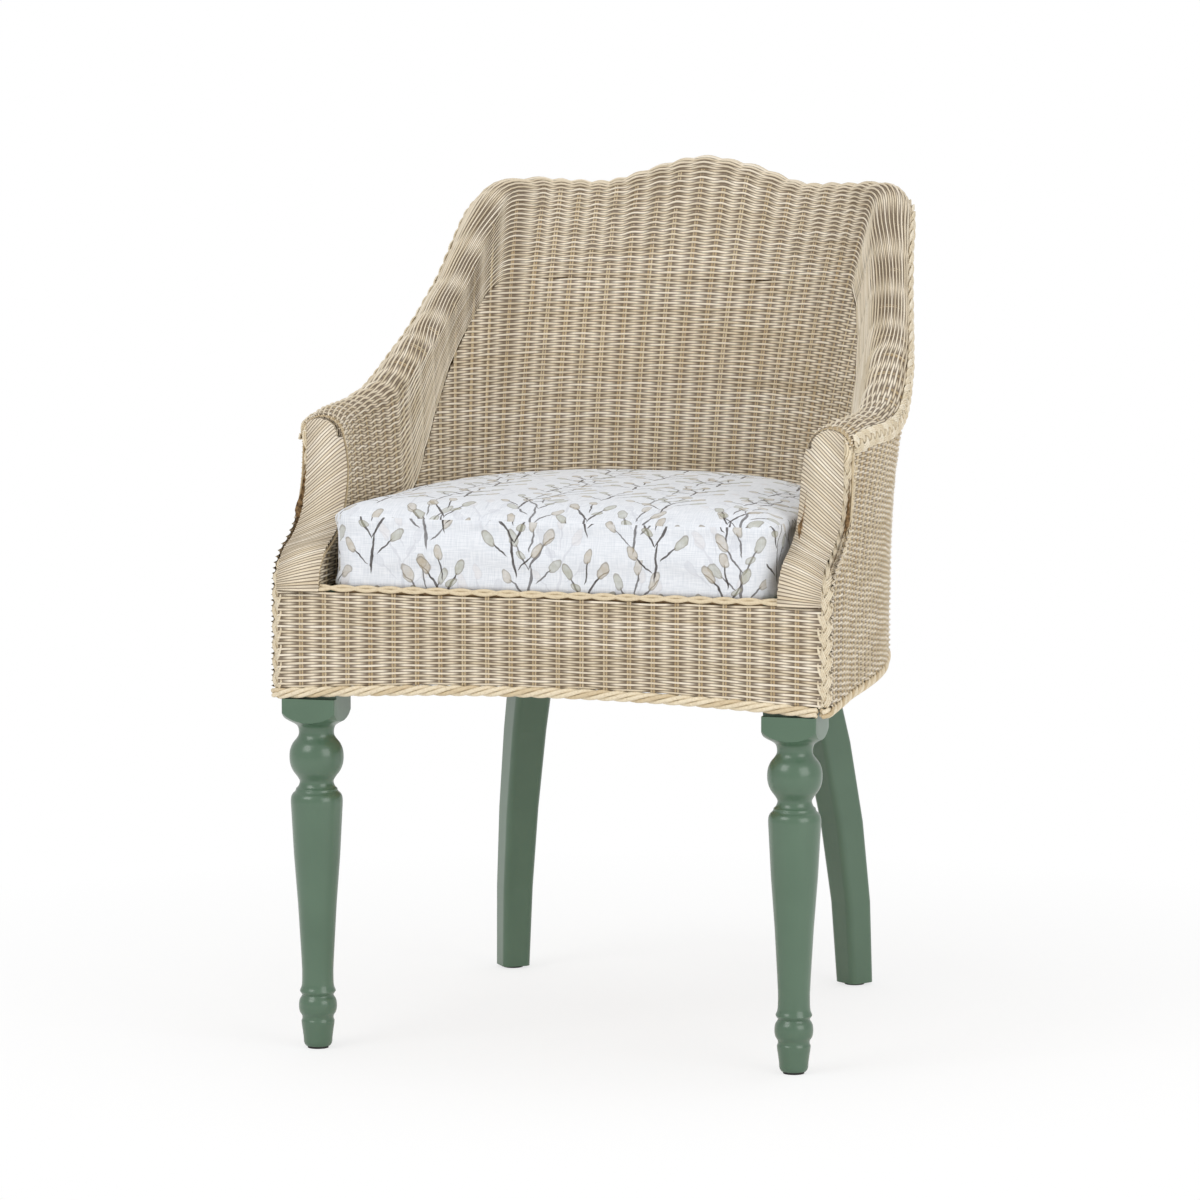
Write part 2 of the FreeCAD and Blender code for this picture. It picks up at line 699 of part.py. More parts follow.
def crest_plait():
    """Plait along the outer side of the rolled edge, from arm to arm."""
    gap = size("pole_gap") / 2 + size("plait_thickness")
    grid = []
    for station in range(len(CENTRES)):
        foot, head = OUTER_FEET[station], outer_head(station)
        outward = FRAMES[station][0]
        rise = both_sides(ROLL_SHARES)[station][2]
        top, end = PLAIT_TOP_ANGLE + PLAIT_TURN * min(max(rise, 0), 1), 180 + outer_lean(station)
        points = [on_roll(CENTRES[station], FRAMES[station], ROLL_RADIUS + gap,
                          top + (end - top) * step / (PLAIT_STEPS - 1)) for step in range(PLAIT_STEPS)]
        share = 1 - size("plait_drop") / (head.z - foot.z)
        points.append(on_wall(foot, head, OUTER_LEAN_POWER, share) + outward * gap)
        grid.append(points)
    feature("crest_braid", sheet_of(filled(grid), size("plait_thickness"), False))


def bottom_borders():
    """Twisted border under the apron, and the one that goes round the corners under the skin."""
    radius = size("border_diameter") / 2
    half = size("skirt_half_width") - radius - size("border_corner") - radius * 0.4
    front = from_front(radius)
    height = size("border_height")
    points = []
    for share in (-1, -0.75, -0.5, -0.25, 0, 0.25, 0.5, 0.75, 1):
        points.append(vector(share * half, front, height + (1 - share ** 2) * size("border_arch")))
    feature("bottom_border_front", rod(points, size("border_diameter")))
    diagonal = size("border_corner") * (1 - math.sqrt(0.5))
    outer = size("skirt_half_width") - radius
    corner = [vector(outer - size("border_corner") + size("clearance"), front, height),
              vector(outer - diagonal, front + diagonal, height),
              vector(outer, front + size("border_corner"), height)]
    line = [vector(point.x, point.y, height) for point in moved_in(OUTER_FEET, radius)]
    left = [vector(-point.x, point.y, point.z) for point in corner]
    feature("bottom_border_rear", rod(left + line + corner[::-1], size("border_diameter")))


# Rods inside

def rods_inside():
    line = filled([[centre] for centre in CENTRES])
    line = [entry[0] for entry in line]
    line[0] = line[0] + (line[1] - line[0]) * POLE_END_SHARE
    line[-1] = line[-1] + (line[-2] - line[-1]) * POLE_END_SHARE
    feature("crest_pole", rod(line, size("pole_diameter")))
    tool = rod(line, size("pole_diameter") + 2 * size("bore_play"))
    reach = size("skirt_half_width") * 2
    below = Part.makeBox(2 * reach, 2 * reach, DECK, vector(-reach, -reach, 0))
    for side, suffix in SIDES:
        x = side * size("arm_post_half_spread")
        y = from_front(size("arm_post_setback"))
        post = Part.makeCylinder(size("arm_post_diameter") / 2, CENTRES[0].z - DECK, vector(x, y, DECK), UP)
        feature("arm_post" + suffix, post.cut(tool).Solids[0])
    for name, station in POST_STATIONS:
        for side, suffix in SIDES:
            path = post_path(MIDDLE + side * station)
            post = rod(path, size("post_diameter")).cut(below).cut(tool)
            feature(name + suffix, post.Solids[0])


def nearest_on_run(points, place):
    """Closest point to a place on an open run of straight lines."""
    best = None
    for start, end in zip(points, points[1:]):
        span = end - start
        share = min(max((place - start).dot(span) / span.dot(span), 0), 1)
        found = start + span * share
        if best is None or (found - place).Length < (best - place).Length:
            best = found
    return best


def post_path(station):
    """From the middle of the rail up between the two walls to the middle of the rolled edge."""
    inner_foot, inner_top = INNER_FEET[station], inner_head(station)
    outer_foot, outer_top = OUTER_FEET[station], outer_head(station)
    points = []
    for share in (0.4, 0.75):
        height = DECK + share * (CENTRES[station].z - DECK)
        inner = on_wall(inner_foot, inner_top, INNER_LEAN_POWER,
                        (height - inner_foot.z) / (inner_top.z - inner_foot.z))
        outer = on_wall(outer_foot, outer_top, OUTER_LEAN_POWER,
                        (height - outer_foot.z) / (outer_top.z - outer_foot.z))
        points.append((inner + outer) * 0.5)
    start = (inner_foot + outer_foot) * 0.5
    start.z = 0
    start = nearest_on_run(rail_run(size("bent_rail_thickness") / 2), start)
    low = vector(start.x, start.y, DECK - size("slat_thickness"))
    return [low, vector(start.x, start.y, DECK + size("slat_thickness"))] + points + [CENTRES[station]]


def hoop():
    inset = size("weave_thickness") + 2 * size("clearance") + size("hoop_diameter") / 2
    height = SKIN_BOTTOM + size("hoop_diameter") / 2
    line = [vector(point.x, point.y, height) for point in moved_in(OUTER_FEET, inset)[1:-1]]
    end = [vector(size("hoop_end_half_spread"), from_front(BLOCK_REAR - size("hoop_tenon")), height),
           vector(size("hoop_end_half_spread"), from_front(BLOCK_REAR + size("hoop_tenon")), height)]
    left = [vector(-point.x, point.y, point.z) for point in end]
    points = left + line + end[::-1]
    feature("skirt_hoop", rod(points, size("hoop_diameter")))
    return height


# Seat frame

def rear_leg_direction(side):
    turn = math.radians(size("rear_leg_turn"))
    return vector(side * math.sin(turn), math.cos(turn))


def sabre_reach(height):
    """How far the rear leg has come in from its foot at a height."""
    return height * math.tan(math.radians(size("sabre_start"))) + height ** 2 / (2 * size("sabre_radius"))


def rear_leg_top(side):
    foot = vector(side * size("rear_foot_spread"), from_front(size("rear_foot_setback")))
    return foot - rear_leg_direction(side) * sabre_reach(size("rear_leg_straight"))


def crossing(one, other):
    """Where two lines of (normal, distance) cross in plan."""
    (a, c), (b, d) = one, other
    low = a.x * b.y - a.y * b.x
    return vector((c * b.y - d * a.y) / low, (a.x * d - b.x * c) / low)


def rail_lines(inset):
    """Side, corner and rear line of the bent rail's right half, this far inside its outer face."""
    lean = math.radians(size("side_rail_angle"))
    side = vector(math.cos(lean), math.sin(lean))
    start = vector(size("bent_rail_half_width"), from_front(BLOCK_REAR))
    corner = rear_leg_direction(1)
    corner_at = rear_leg_top(1).dot(corner) + size("rear_leg_width") / 2 + size("bent_rail_thickness")
    rear_at = from_front(size("bent_rail_setback"))
    return [(side, side.dot(start) - inset), (corner, corner_at - inset), (BACK, rear_at - inset)]


def rail_run(inset):
    """Corner points of the bent rail, left to right, this far inside its outer face."""
    lines = rail_lines(inset)
    start = crossing(lines[0], (BACK, from_front(BLOCK_REAR)))
    half = [start, crossing(lines[0], lines[1]), crossing(lines[1], lines[2])]
    return [vector(-point.x, point.y) for point in half] + half[::-1]


def slat_half_width(y):
    """Half the room between the bent rail's inner faces at a place, less the gap."""
    inset = size("bent_rail_thickness") + size("slat_end_gap")
    lines = rail_lines(inset)
    return min((distance - normal.y * y) / normal.x for normal, distance in lines[:2])


def slat_places():
    """Front and rear edge of every slat."""
    first = from_front(BLOCK_REAR + size("first_slat_gap"))
    last = rail_lines(size("bent_rail_thickness") + size("slat_end_gap"))[2][1]
    pitch = (last - first - size("slat_width")) / (SLAT_COUNT - 1)
    return [(first + pitch * k, first + pitch * k + size("slat_width")) for k in range(SLAT_COUNT)]


def screw_places():
    """Screws through the slat ends; those of the last slat go into the rear legs."""
    places = []
    for front, rear in slat_places()[:-1]:
        y = (front + rear) / 2
        x = slat_half_width(y) - size("screw_end_distance")
        places.extend([vector(-x, y, DECK), vector(x, y, DECK)])
    for side, _ in SIDES:
        top = rear_leg_top(side)
        places.append(vector(top.x, top.y, DECK))
    return places


def screws(play):
    """Shanks and heads, wider by the play."""
    shapes = []
    for place in screw_places():
        shank_length, head_length = size("screw_length") + play, size("screw_head_height")
        shank = pin(place - UP * (shank_length / 2), UP, size("screw_diameter") + 2 * play, shank_length)
        head = pin(place - UP * (head_length / 2), UP, size("screw_head_diameter") + 2 * play, head_length)
        shapes.append(shank.fuse(head))
    return Part.makeCompound(shapes)


def dowels(play):
    """Two dowels in each joint between a front leg and a rail."""
    shapes = []
    middle = RAIL_BOTTOM + size("rail_height") / 2
    for side, _ in SIDES:
        front_joint = vector(side * BLOCK_INSIDE, from_front((REBATE + RAIL_REAR) / 2), middle)
        side_x = size("bent_rail_half_width") - size("bent_rail_thickness") * 0.6
        side_joint = vector(side * side_x, from_front(BLOCK_REAR), middle)
        for joint, direction in ((front_joint, SIDE), (side_joint, BACK)):
            for way in (-1, 1):
                centre = joint + UP * (way * size("dowel_pitch") / 2)
                diameter = size("dowel_diameter") + 2 * play
                shapes.append(pin(centre, direction, diameter, size("dowel_length") + 2 * play))
    return Part.makeCompound(shapes)


def bolts(play, heads):
    """Two bolts through the rail into each rear leg."""
    shapes = []
    for side, _ in SIDES:
        direction = rear_leg_direction(side)
        outside = rear_leg_top(side) + direction * (size("rear_leg_width") / 2 + size("bent_rail_thickness"))
        for way in (-1, 1):
            height = DECK - size("bolt_drop") + way * size("bolt_pitch") / 2
            start = outside + UP * height
            length = size("bolt_length") + play
            shank = pin(start - direction * (length / 2), direction, size("bolt_diameter") + 2 * play, length)
            if heads:
                lift = size("bolt_head_height")
                head = pin(start + direction * (lift / 2), direction, size("bolt_head_diameter"), lift)
                shank = shank.fuse(head)
            shapes.append(shank)
    return Part.makeCompound(shapes)


def seat_frame(dowel_bores, bolt_bores, screw_bores):
    """Front rail, bent rail, corner blocks, cleats and slats."""
    half, near, far = BLOCK_INSIDE, from_front(REBATE), from_front(RAIL_REAR)
    box = [vector(-half, near), vector(half, near), vector(half, far), vector(-half, far)]
    front = board("FrontRail", run_of_lines(box), RAIL_BOTTOM, "sizes.rail_height")
    bored("seat_rail_front", front, dowel_bores)
    outer, inner = rail_run(0), rail_run(size("bent_rail_thickness"))
    small = size("bent_rail_radius") - size("bent_rail_thickness")
    corners = []
    for run, radius in ((outer, size("bent_rail_radius")), (inner[::-1], small)):
        corners.extend((point, radius if 0 < index < len(run) - 1 else 0) for index, point in enumerate(run))
    bent = board("BentRail", rounded_run(corners), RAIL_BOTTOM, "sizes.rail_height")
    both = raw("BentRailBores", Part.makeCompound([dowel_bores.Shape, bolt_bores.Shape]))
    bored("seat_rail_bent", bent, both)
    block_bottom = RAIL_BOTTOM + size("corner_block_drop")
    side_line = rail_lines(size("bent_rail_thickness"))[0]
    leg_y = from_front(BLOCK_REAR)
    end_y = leg_y + size("corner_block_reach")
    touch, end = crossing(side_line, (BACK, leg_y)), crossing(side_line, (BACK, end_y))
    corner = [vector(half, far), vector(half, leg_y), touch, end,
              vector(half - size("corner_block_reach"), far)]
    cleat_line = rail_lines(size("bent_rail_thickness") + size("cleat_width"))[0]
    cleat_end = slat_places()[-1][0] - size("first_slat_gap")
    cleat_start = leg_y + size("first_slat_gap")
    cleat = [crossing(side_line, (BACK, cleat_start)), crossing(side_line, (BACK, cleat_end)),
             crossing(cleat_line, (BACK, cleat_end)), crossing(cleat_line, (BACK, cleat_start))]
    for side, suffix in SIDES:
        points = [vector(side * point.x, point.y) for point in corner]
        block = board("CornerBlock", run_of_lines(points), block_bottom, "sizes.corner_block_height")
        keep(block, "corner_block" + suffix)
        points = [vector(side * point.x, point.y) for point in cleat]
        strip = board("Cleat", run_of_lines(points), SLAT_BOTTOM - size("cleat_width"), "sizes.cleat_width")
        bored("slat_cleat" + suffix, strip, screw_bores)
    lines = rail_lines(size("bent_rail_thickness") + size("slat_end_gap"))
    kink = crossing(lines[0], lines[1]).y
    for number, (front_y, rear_y) in enumerate(slat_places(), start=1):
        levels = [front_y] + [kink] * (front_y < kink < rear_y) + [rear_y]
        right = [vector(slat_half_width(y), y) for y in levels]
        left = [vector(-point.x, point.y) for point in right[::-1]]
        slat = board("Slat", run_of_lines(right + left), SLAT_BOTTOM, "sizes.slat_thickness")
        bored("seat_slat_%d" % number, slat, screw_bores)


# Legs

def turning_waste(side):
    """What the lathe takes from the square blank below the shoulder."""
    foot = vector(side * size("front_leg_spread"), from_front(size("front_leg_setback")), size("glide_thickness"))
    turned = size("shoulder_turning") - foot.z
    half = size("block_width") / 2
    rings = [(TURNING_SHARES[0][0] * half * FOOT_EDGE_SHARE, 0)]
    rings += [(across * half, up * turned) for across, up in TURNING_SHARES]
    depth = vector(0, 1)
    core = tube_of([circle_points(foot + UP * height, SIDE, depth, radius, LEG_SIDES) for radius, height in rings])
    reach = half + size("overrun")
    waste = Part.makeBox(reach * 2, reach * 2, rings[-1][1] + size("overrun"),
                         foot - vector(reach, reach, size("overrun")))
    return waste.cut(core)


def front_leg(side, suffix, bores):
    """Square blank, rebated at the top for the apron and turned below the shoulder."""
    lift = size("glide_thickness")
    place = vector(side * size("front_leg_spread"), from_front(size("front_leg_setback")), lift)
    body = new_body("FrontLeg", FreeCAD.Placement(place, FreeCAD.Rotation()))
    half = size("block_width") / 2
    square = [vector(-half, -half), vector(half, -half), vector(half, half), vector(-half, half)]
    pad(body, new_sketch(body, "XY_Plane", run_of_lines(square)), "sizes.apron_top - sizes.glide_thickness")
    depth = REBATE - BLOCK_FRONT
    bottom = size("border_height") - size("border_diameter") / 2 - size("clearance") - lift
    top = DECK + size("overrun")
    over = half + size("overrun")
    notch = [vector(-over, -half - depth), vector(over, -half - depth), vector(over, -half + depth),
             vector(-over, -half + depth)]
    rebate = body.newObject("PartDesign::Pocket", "Rebate")
    rebate.Profile = new_sketch(body, "XY_Plane", run_of_lines(notch), bottom)
    rebate.Length = top - bottom
    rebate.Reversed = True
    turned = doc.addObject("Part::Cut", "TurnedLeg")
    turned.Base = body
    turned.Tool = raw("TurningWaste", turning_waste(side))
    bored("front_leg" + suffix, turned, bores)


def rear_leg(side, suffix, bores):
    """Sabre leg: loft through rounded squares, then upright inside the rail."""
    foot = vector(side * size("rear_foot_spread"), from_front(size("rear_foot_setback")), size("glide_thickness"))
    body = new_body("RearLeg", FreeCAD.Placement(foot, FreeCAD.Rotation(UP, -side * size("rear_leg_turn"))))
    rise = size("rear_leg_straight") - size("glide_thickness")
    sketches = []
    for step in range(SABRE_STEPS):
        share = step / (SABRE_STEPS - 1)
        half = (size("rear_foot_width") + (size("rear_leg_width") - size("rear_foot_width")) * share) / 2
        back = -sabre_reach(share * size("rear_leg_straight"))
        square = [vector(-half, back - half), vector(half, back - half), vector(half, back + half),
                  vector(-half, back + half)]
        edges = rounded_run([(point, size("rear_leg_edge")) for point in square])
        sketches.append(new_sketch(body, "XY_Plane", edges, share * rise))
    loft = body.newObject("PartDesign::AdditiveLoft", "Sabre")
    loft.Profile = sketches[0]
    loft.Sections = sketches[1:]
    loft.Ruled = True
    upright = new_sketch(body, "XY_Plane", edges, rise)
    pad(body, upright, "sizes.apron_top - sizes.slat_thickness - sizes.rear_leg_straight")
    bored("rear_leg" + suffix, body, bores)


def foot_glides():
    """Round pads that all feet stand on."""
    shapes = []
    for side, _ in SIDES:
        for spread, setback in (("front_leg_spread", "front_leg_setback"), ("rear_foot_spread", "rear_foot_setback")):
            foot = vector(side * size(spread), from_front(size(setback)))
            middle = foot + UP * (size("glide_thickness") / 2)
            shapes.append(pin(middle, UP, size("glide_diameter"), size("glide_thickness"), LEG_SIDES))
    feature("foot_glides", Part.makeCompound(shapes))


# Cushion

def cushion_ring(height, level, inset, share=1.0):
    """Outline at a height; level runs from the lower seam at 0 to the upper seam at 1."""
    inset = inset + (size("cushion_drawn_in") if 0 < level < 1 else 0)
    half, front = size("cushion_half_width") - inset, from_front(size("cushion_setback") + inset)
    rear = size("cushion_rear_low") + (size("cushion_rear_top") - size("cushion_rear_low")) * level
    depth = rear - size("cushion_setback")
    radius = size("cushion_corner") - inset / 2
    bend = radius * (1 - math.sqrt(0.5))
    curve = []
    for across, back, facing in CUSHION_SHARES:
        turn = math.radians(facing)
        edge = vector(across * size("cushion_half_width"), from_front(size("cushion_setback") + back * depth))
        curve.append(edge - vector(math.cos(turn), math.sin(turn)) * inset)
    right = [vector(half - bend, front + bend), vector(half, front + radius)] + resample(curve, CUSHION_STEPS)
    left = [vector(-point.x, point.y) for point in reversed(right)]
    straight = [vector((half - radius) * place, front) for place in FRONT_EDGE_SHARES]
    centre = vector(0, from_front(size("cushion_setback") + CROWN_CENTRE_SHARE * depth))
    return [centre + (point - centre) * share + UP * height for point in right + left + straight]


def cushion_solid(inset):
    """Boxing with sides that pull in, and a crown over it."""
    low = DECK + size("clearance") + inset
    high = DECK + size("clearance") + size("cushion_thickness") - inset / 2
    rings = [cushion_ring(low + (high - low) * level, level, inset) for level in BOXING_LEVELS]
    rise = size("cushion_crown") - inset / 2
    for share, lift in CROWN_SHARES:
        rings.append(cushion_ring(high + rise * lift, 1, inset, share))
    return tube_of(rings)


def cushion():
    outer = cushion_solid(0)
    feature("cushion_cover", outer.cut(cushion_solid(size("cover_thickness"))))
    feature("cushion_foam", cushion_solid(size("cover_thickness") + size("clearance")))
    zip_fastener()


def zip_fastener():
    """Straight chain on the rear boxing, and the slider that runs along it."""
    tilt = math.degrees(math.atan((size("cushion_rear_top") - size("cushion_rear_low")) / size("cushion_thickness")))
    middle = (size("cushion_rear_top") + size("cushion_rear_low")) / 2 - size("cushion_drawn_in")
    place = vector(0, from_front(middle), DECK + size("clearance") + size("cushion_thickness") / 2)
    placement = FreeCAD.Placement(place, FreeCAD.Rotation(SIDE, -tilt))
    chain = doc.addObject("Part::Box", "Chain")
    chain.setExpression("Length", "sizes.zip_length")
    chain.setExpression("Width", "sizes.zip_thickness")
    chain.setExpression("Height", "sizes.zip_width")
    offset = vector(-size("zip_length") / 2, size("clearance") * 2, -size("zip_width") / 2)
    chain.Placement = placement.multiply(FreeCAD.Placement(offset, FreeCAD.Rotation()))
    keep(chain, "zip_chain")
    surface = size("clearance") * 2 + size("zip_thickness") + size("zip_play")
    start = -size("zip_length") / 2
    plate = Part.makeBox(size("zip_slider_length"), size("zip_slider_thickness"), size("zip_slider_width"),
                         vector(start, surface, -size("zip_slider_width") / 2))
    pull = Part.makeBox(size("zip_pull_width"), size("zip_pull_thickness"), size("zip_pull_length"),
                        vector(start + (size("zip_slider_length") - size("zip_pull_width")) / 2,
                               surface + size("zip_slider_thickness"), -size("zip_pull_length")))
    slider = feature("zip_slider", plate.fuse(pull))
    slider.Placement = placement


def write_parts():
    doc.recompute()
    for label, obj in parts.items():
        shape = obj.Shape
        if shape.isNull() or not shape.isValid() or "Invalid" in obj.State or "Error" in obj.State:
            raise RuntimeError(label + " failed")
    os.makedirs("parts", exist_ok=True)
    for label, obj in parts.items():
        obj.Shape.exportStep("parts/" + label + ".step")


rail_dowel_bores = raw("DowelBores", dowels(size("bore_play")))
rear_bolt_bores = raw("BoltBores", bolts(size("bore_play"), False))
slat_screw_bores = raw("ScrewBores", screws(size("bore_play")))
inner_shell()
outer_skin()
arm_fronts()
apron()
apron_top_border()
front_plaits()
crest_plait()
bottom_borders()
rods_inside()
hoop_height = hoop()
hoop_bores = [pin(vector(side * size("hoop_end_half_spread"), from_front(BLOCK_REAR), hoop_height), BACK,
                  size("hoop_diameter") + 4 * size("clearance"), 2 * (size("hoop_tenon") + size("clearance")))
              for side, _ in SIDES]
front_bores = raw("FrontLegBores", Part.makeCompound([rail_dowel_bores.Shape] + hoop_bores))
rear_bores = raw("RearLegBores", Part.makeCompound([rear_bolt_bores.Shape, slat_screw_bores.Shape]))
for side, suffix in SIDES:
    front_leg(side, suffix, front_bores)
    rear_leg(side, suffix, rear_bores)
foot_glides()
seat_frame(rail_dowel_bores, rear_bolt_bores, slat_screw_bores)
feature("rail_dowels", dowels(0))
feature("rear_leg_bolts", bolts(0, True))
feature("slat_screws", screws(0))
cushion()
write_parts()
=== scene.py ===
import json
import math

import bmesh
import bpy
import numpy as np
from mathutils import Matrix, Vector


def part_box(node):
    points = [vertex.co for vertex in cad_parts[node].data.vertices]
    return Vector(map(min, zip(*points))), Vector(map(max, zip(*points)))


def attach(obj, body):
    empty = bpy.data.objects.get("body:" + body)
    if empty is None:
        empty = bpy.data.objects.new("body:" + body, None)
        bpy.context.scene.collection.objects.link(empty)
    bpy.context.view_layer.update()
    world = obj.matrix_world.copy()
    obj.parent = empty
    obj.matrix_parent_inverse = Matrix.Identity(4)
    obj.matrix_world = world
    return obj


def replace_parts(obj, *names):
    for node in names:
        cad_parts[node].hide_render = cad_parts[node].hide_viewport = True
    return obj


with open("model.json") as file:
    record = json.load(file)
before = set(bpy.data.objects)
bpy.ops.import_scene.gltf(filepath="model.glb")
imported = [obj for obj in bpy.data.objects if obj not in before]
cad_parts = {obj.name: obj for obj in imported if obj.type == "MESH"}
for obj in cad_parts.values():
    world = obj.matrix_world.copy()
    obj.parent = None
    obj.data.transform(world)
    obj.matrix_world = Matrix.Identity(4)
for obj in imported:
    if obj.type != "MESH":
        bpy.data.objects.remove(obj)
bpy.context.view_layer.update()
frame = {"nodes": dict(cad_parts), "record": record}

MM = 0.001

# Sizes shared with the frame, in metres
HALF_DEPTH = 338.9 * MM
ROLL_RADIUS = 25.0 * MM
ARM_HALF_WIDTH = 283.5 * MM
CREST_SETBACK = 649.5 * MM
ARM_HEIGHT = 667.0 * MM
SHOULDER_HEIGHT = 885.5 * MM
CREST_HEIGHT = 912.0 * MM
SEAT_HALF_WIDTH = 245.0 * MM
SEAT_DEPTH = 495.5 * MM
SKIRT_HALF_WIDTH = 300.5 * MM
SKIRT_DEPTH = 561.5 * MM
DECK = 485.0 * MM
APRON_SETBACK = 2.8 * MM
ARM_FRONT_SETBACK = 102.5 * MM
SHELL_THICKNESS = 7.2 * MM
NOSE_ROUNDING = 4.2 * MM
BORDER_HEIGHT = 376.5 * MM
BORDER_RADIUS = 5.0 * MM
BORDER_ARCH = 11.0 * MM
SEAM = 0.3 * MM
SKIN_BOTTOM = BORDER_HEIGHT + BORDER_RADIUS + SEAM
WALL_FOOT = DECK + SEAM
APRON_TOP = DECK - 1.0 * MM
CORNER_CUT = 17.5 * MM
PLAIT_INSET = CORNER_CUT * math.sqrt(0.5)
LEG_SPREAD = 257.0 * MM
LEG_SETBACK = 30.5 * MM
LEG_BLANK = 57.5 * MM
LEG_LIFT = 2.5 * MM
LEG_SHOULDER = 360.0 * MM

# Stations of the rolled edge and of the walls' feet, from the middle of the back, as shares of those sizes
ROLL_SHARES = [
    (0.000, 1.000, 1.000, 1.00), (0.169, 1.0015, 1.000, 0.66), (0.367, 0.997, 1.000, 0.00),
    (0.564, 0.984, 0.995, 0.00), (0.691, 0.961, 1.005, 0.00), (0.794, 0.897, 0.982, 0.00),
    (0.830, 0.825, 0.807, 0.00), (0.859, 0.768, 0.613, 0.00), (0.907, 0.682, 0.385, 0.00),
    (0.942, 0.612, 0.243, 0.00), (0.981, 0.497, 0.071, 0.00), (1.000, 0.374, 0.005, 0.00),
    (0.991, 0.256, -0.005, 0.00), (0.970, 0.176, -0.027, 0.00),
]
INNER_SHARES = [
    (0.000, 1.000), (0.180, 0.995), (0.371, 0.975), (0.559, 0.918), (0.657, 0.868), (0.718, 0.830),
    (0.763, 0.797), (0.808, 0.761), (0.861, 0.706), (0.902, 0.647), (0.947, 0.542), (0.971, 0.423),
    (0.988, 0.306), (1.000, 0.205),
]
OUTER_SHARES = [
    (0.000, 1.000), (0.160, 0.999), (0.333, 0.997), (0.499, 0.993), (0.633, 0.984), (0.736, 0.964),
    (0.802, 0.923), (0.835, 0.863), (0.870, 0.7685), (0.9015, 0.683), (0.930, 0.564), (0.947, 0.434),
    (0.959, 0.284), (0.978, 0.170),
]

# Side view of the arm front from the deck up, as shares of its rise and of its setback
SCROLL_SHARES = [
    (0.000, 0.012), (0.096, 0.032), (0.172, 0.097), (0.248, 0.238), (0.318, 0.500), (0.408, 0.729),
    (0.503, 0.865), (0.675, 0.975), (0.873, 1.000), (0.960, 1.000),
]

# Outline of the front leg from its foot up, as shares of half its blank and of its turned height
TURNING_SHARES = [
    (0.500, 0.006), (0.527, 0.024), (0.566, 0.048), (0.602, 0.069), (0.604, 0.074), (0.574, 0.080),
    (0.575, 0.088), (0.660, 0.100), (0.696, 0.119), (0.660, 0.138), (0.572, 0.151), (0.655, 0.162),
    (0.600, 0.174), (0.574, 0.200), (0.600, 0.272), (0.940, 0.712), (0.945, 0.727), (0.925, 0.738),
    (0.868, 0.747), (0.800, 0.752), (0.765, 0.756), (0.745, 0.762), (0.700, 0.765), (0.640, 0.773),
    (0.615, 0.783), (0.680, 0.794), (0.722, 0.799), (0.860, 0.814), (0.955, 0.833), (0.985, 0.855),
    (0.955, 0.877), (0.860, 0.895), (0.722, 0.909), (0.650, 0.919), (0.642, 0.934), (0.690, 0.946),
    (0.850, 0.956), (1.020, 0.963), (1.220, 0.974), (1.420, 0.994), (1.500, 1.010),
]

# How the walls lean out, and the angle at which the weave ends on the rolled edge
INNER_LEAN_POWER = 1.7
OUTER_LEAN_POWER = 2.4
OUTER_LEAN_LEAST = math.radians(8)
ROLL_END = math.radians(172)

# Spacing of the stakes and rows, and how the walls are made of them
STAKE_SPACING = 21.7 * MM
APRON_STAKE_SPACING = 25.5 * MM
OUTER_STAKE_SPACING = 20.5 * MM
ROW_PITCH = 2.8 * MM
STAKE_RADIUS = 1.25 * MM
STAKE_DEPTH = 3.1 * MM
STAKE_HALF_PAIR = 1.35 * MM
STAKE_TRIM, OUTER_STAKE_TRIM = 2 * MM, 1 * MM
BACKING_DEPTH = SHELL_THICKNESS - 0.4 * MM
STEPS_PER_STAKE, PLACES_PER_STATION = 6, 50
FRONT_STAKES = 3
WALL_POINTS, ROLL_POINTS = 40, 24
LINE_POINTS, SKIN_POINTS, RISING_POINTS, FOOT_POINTS = 120, 60, 60, 12
STAKE_POINTS, STAKE_STEPS = 80, 72
BACKING_POINTS, BACKING_SKIP = 30, 3

# How the rods swing over and under the stakes
WEAVE_SWING, OUTER_SWING = 1.4 * MM, 1.9 * MM
WEAVE_LIFT = 0.1 * MM
WEAVE_GROOVE = 1.1 * MM
SWING_FLATNESS = 0.8
ROD_UNEVENNESS = 0.25 * MM
UNEVEN_TURN, UNEVEN_POWER = 7.1, 1.1
ROW_WANDER = 0.35 * MM
WANDER_WAVES = ((0.7, 0.09), (1.9, -0.31))
SCALLOP = 0.9 * MM

# Band of rows that follows the rolled edge; its turn is counted in stakes from the middle
EDGE_BAND = 168 * MM
BAND_TURN_START, BAND_TURN_END, BAND_LOWEST = 9.0, 17.0, 25

# Where the walls meet the arm fronts and the corners
LIP, LIP_SHARE = 4 * MM, 0.2
FRONT_BEND = 40 * MM
FACE_SLANT = 0.15
TUCK = 2 * MM
CORNER_CLEAR, CORNER_STEP = 3, 0.8 * MM

# Arm fronts: rows that sweep down, and the coil in the round end
ARM_SWEEP, ARM_SWEEP_START, ARM_SWEEP_POWER = 38 * MM, 80 * MM, 1.2
ARM_ROW_PITCH, ARM_BULGE = 3.9 * MM, 3 * MM
ARM_CAP_GAP = 0.6 * MM
ARM_STAKES, ARM_COUNT_START, ARM_COUNT_RUN = 3, 0.36, 0.28
SCROLL_POINTS, CAP_POINTS = 90, 5
COIL_TURNS, COIL_BULGE, COIL_EYE, COIL_DEPTH = 7, 1.5 * MM, 1 * MM, 2 * MM
COIL_STEPS = 40

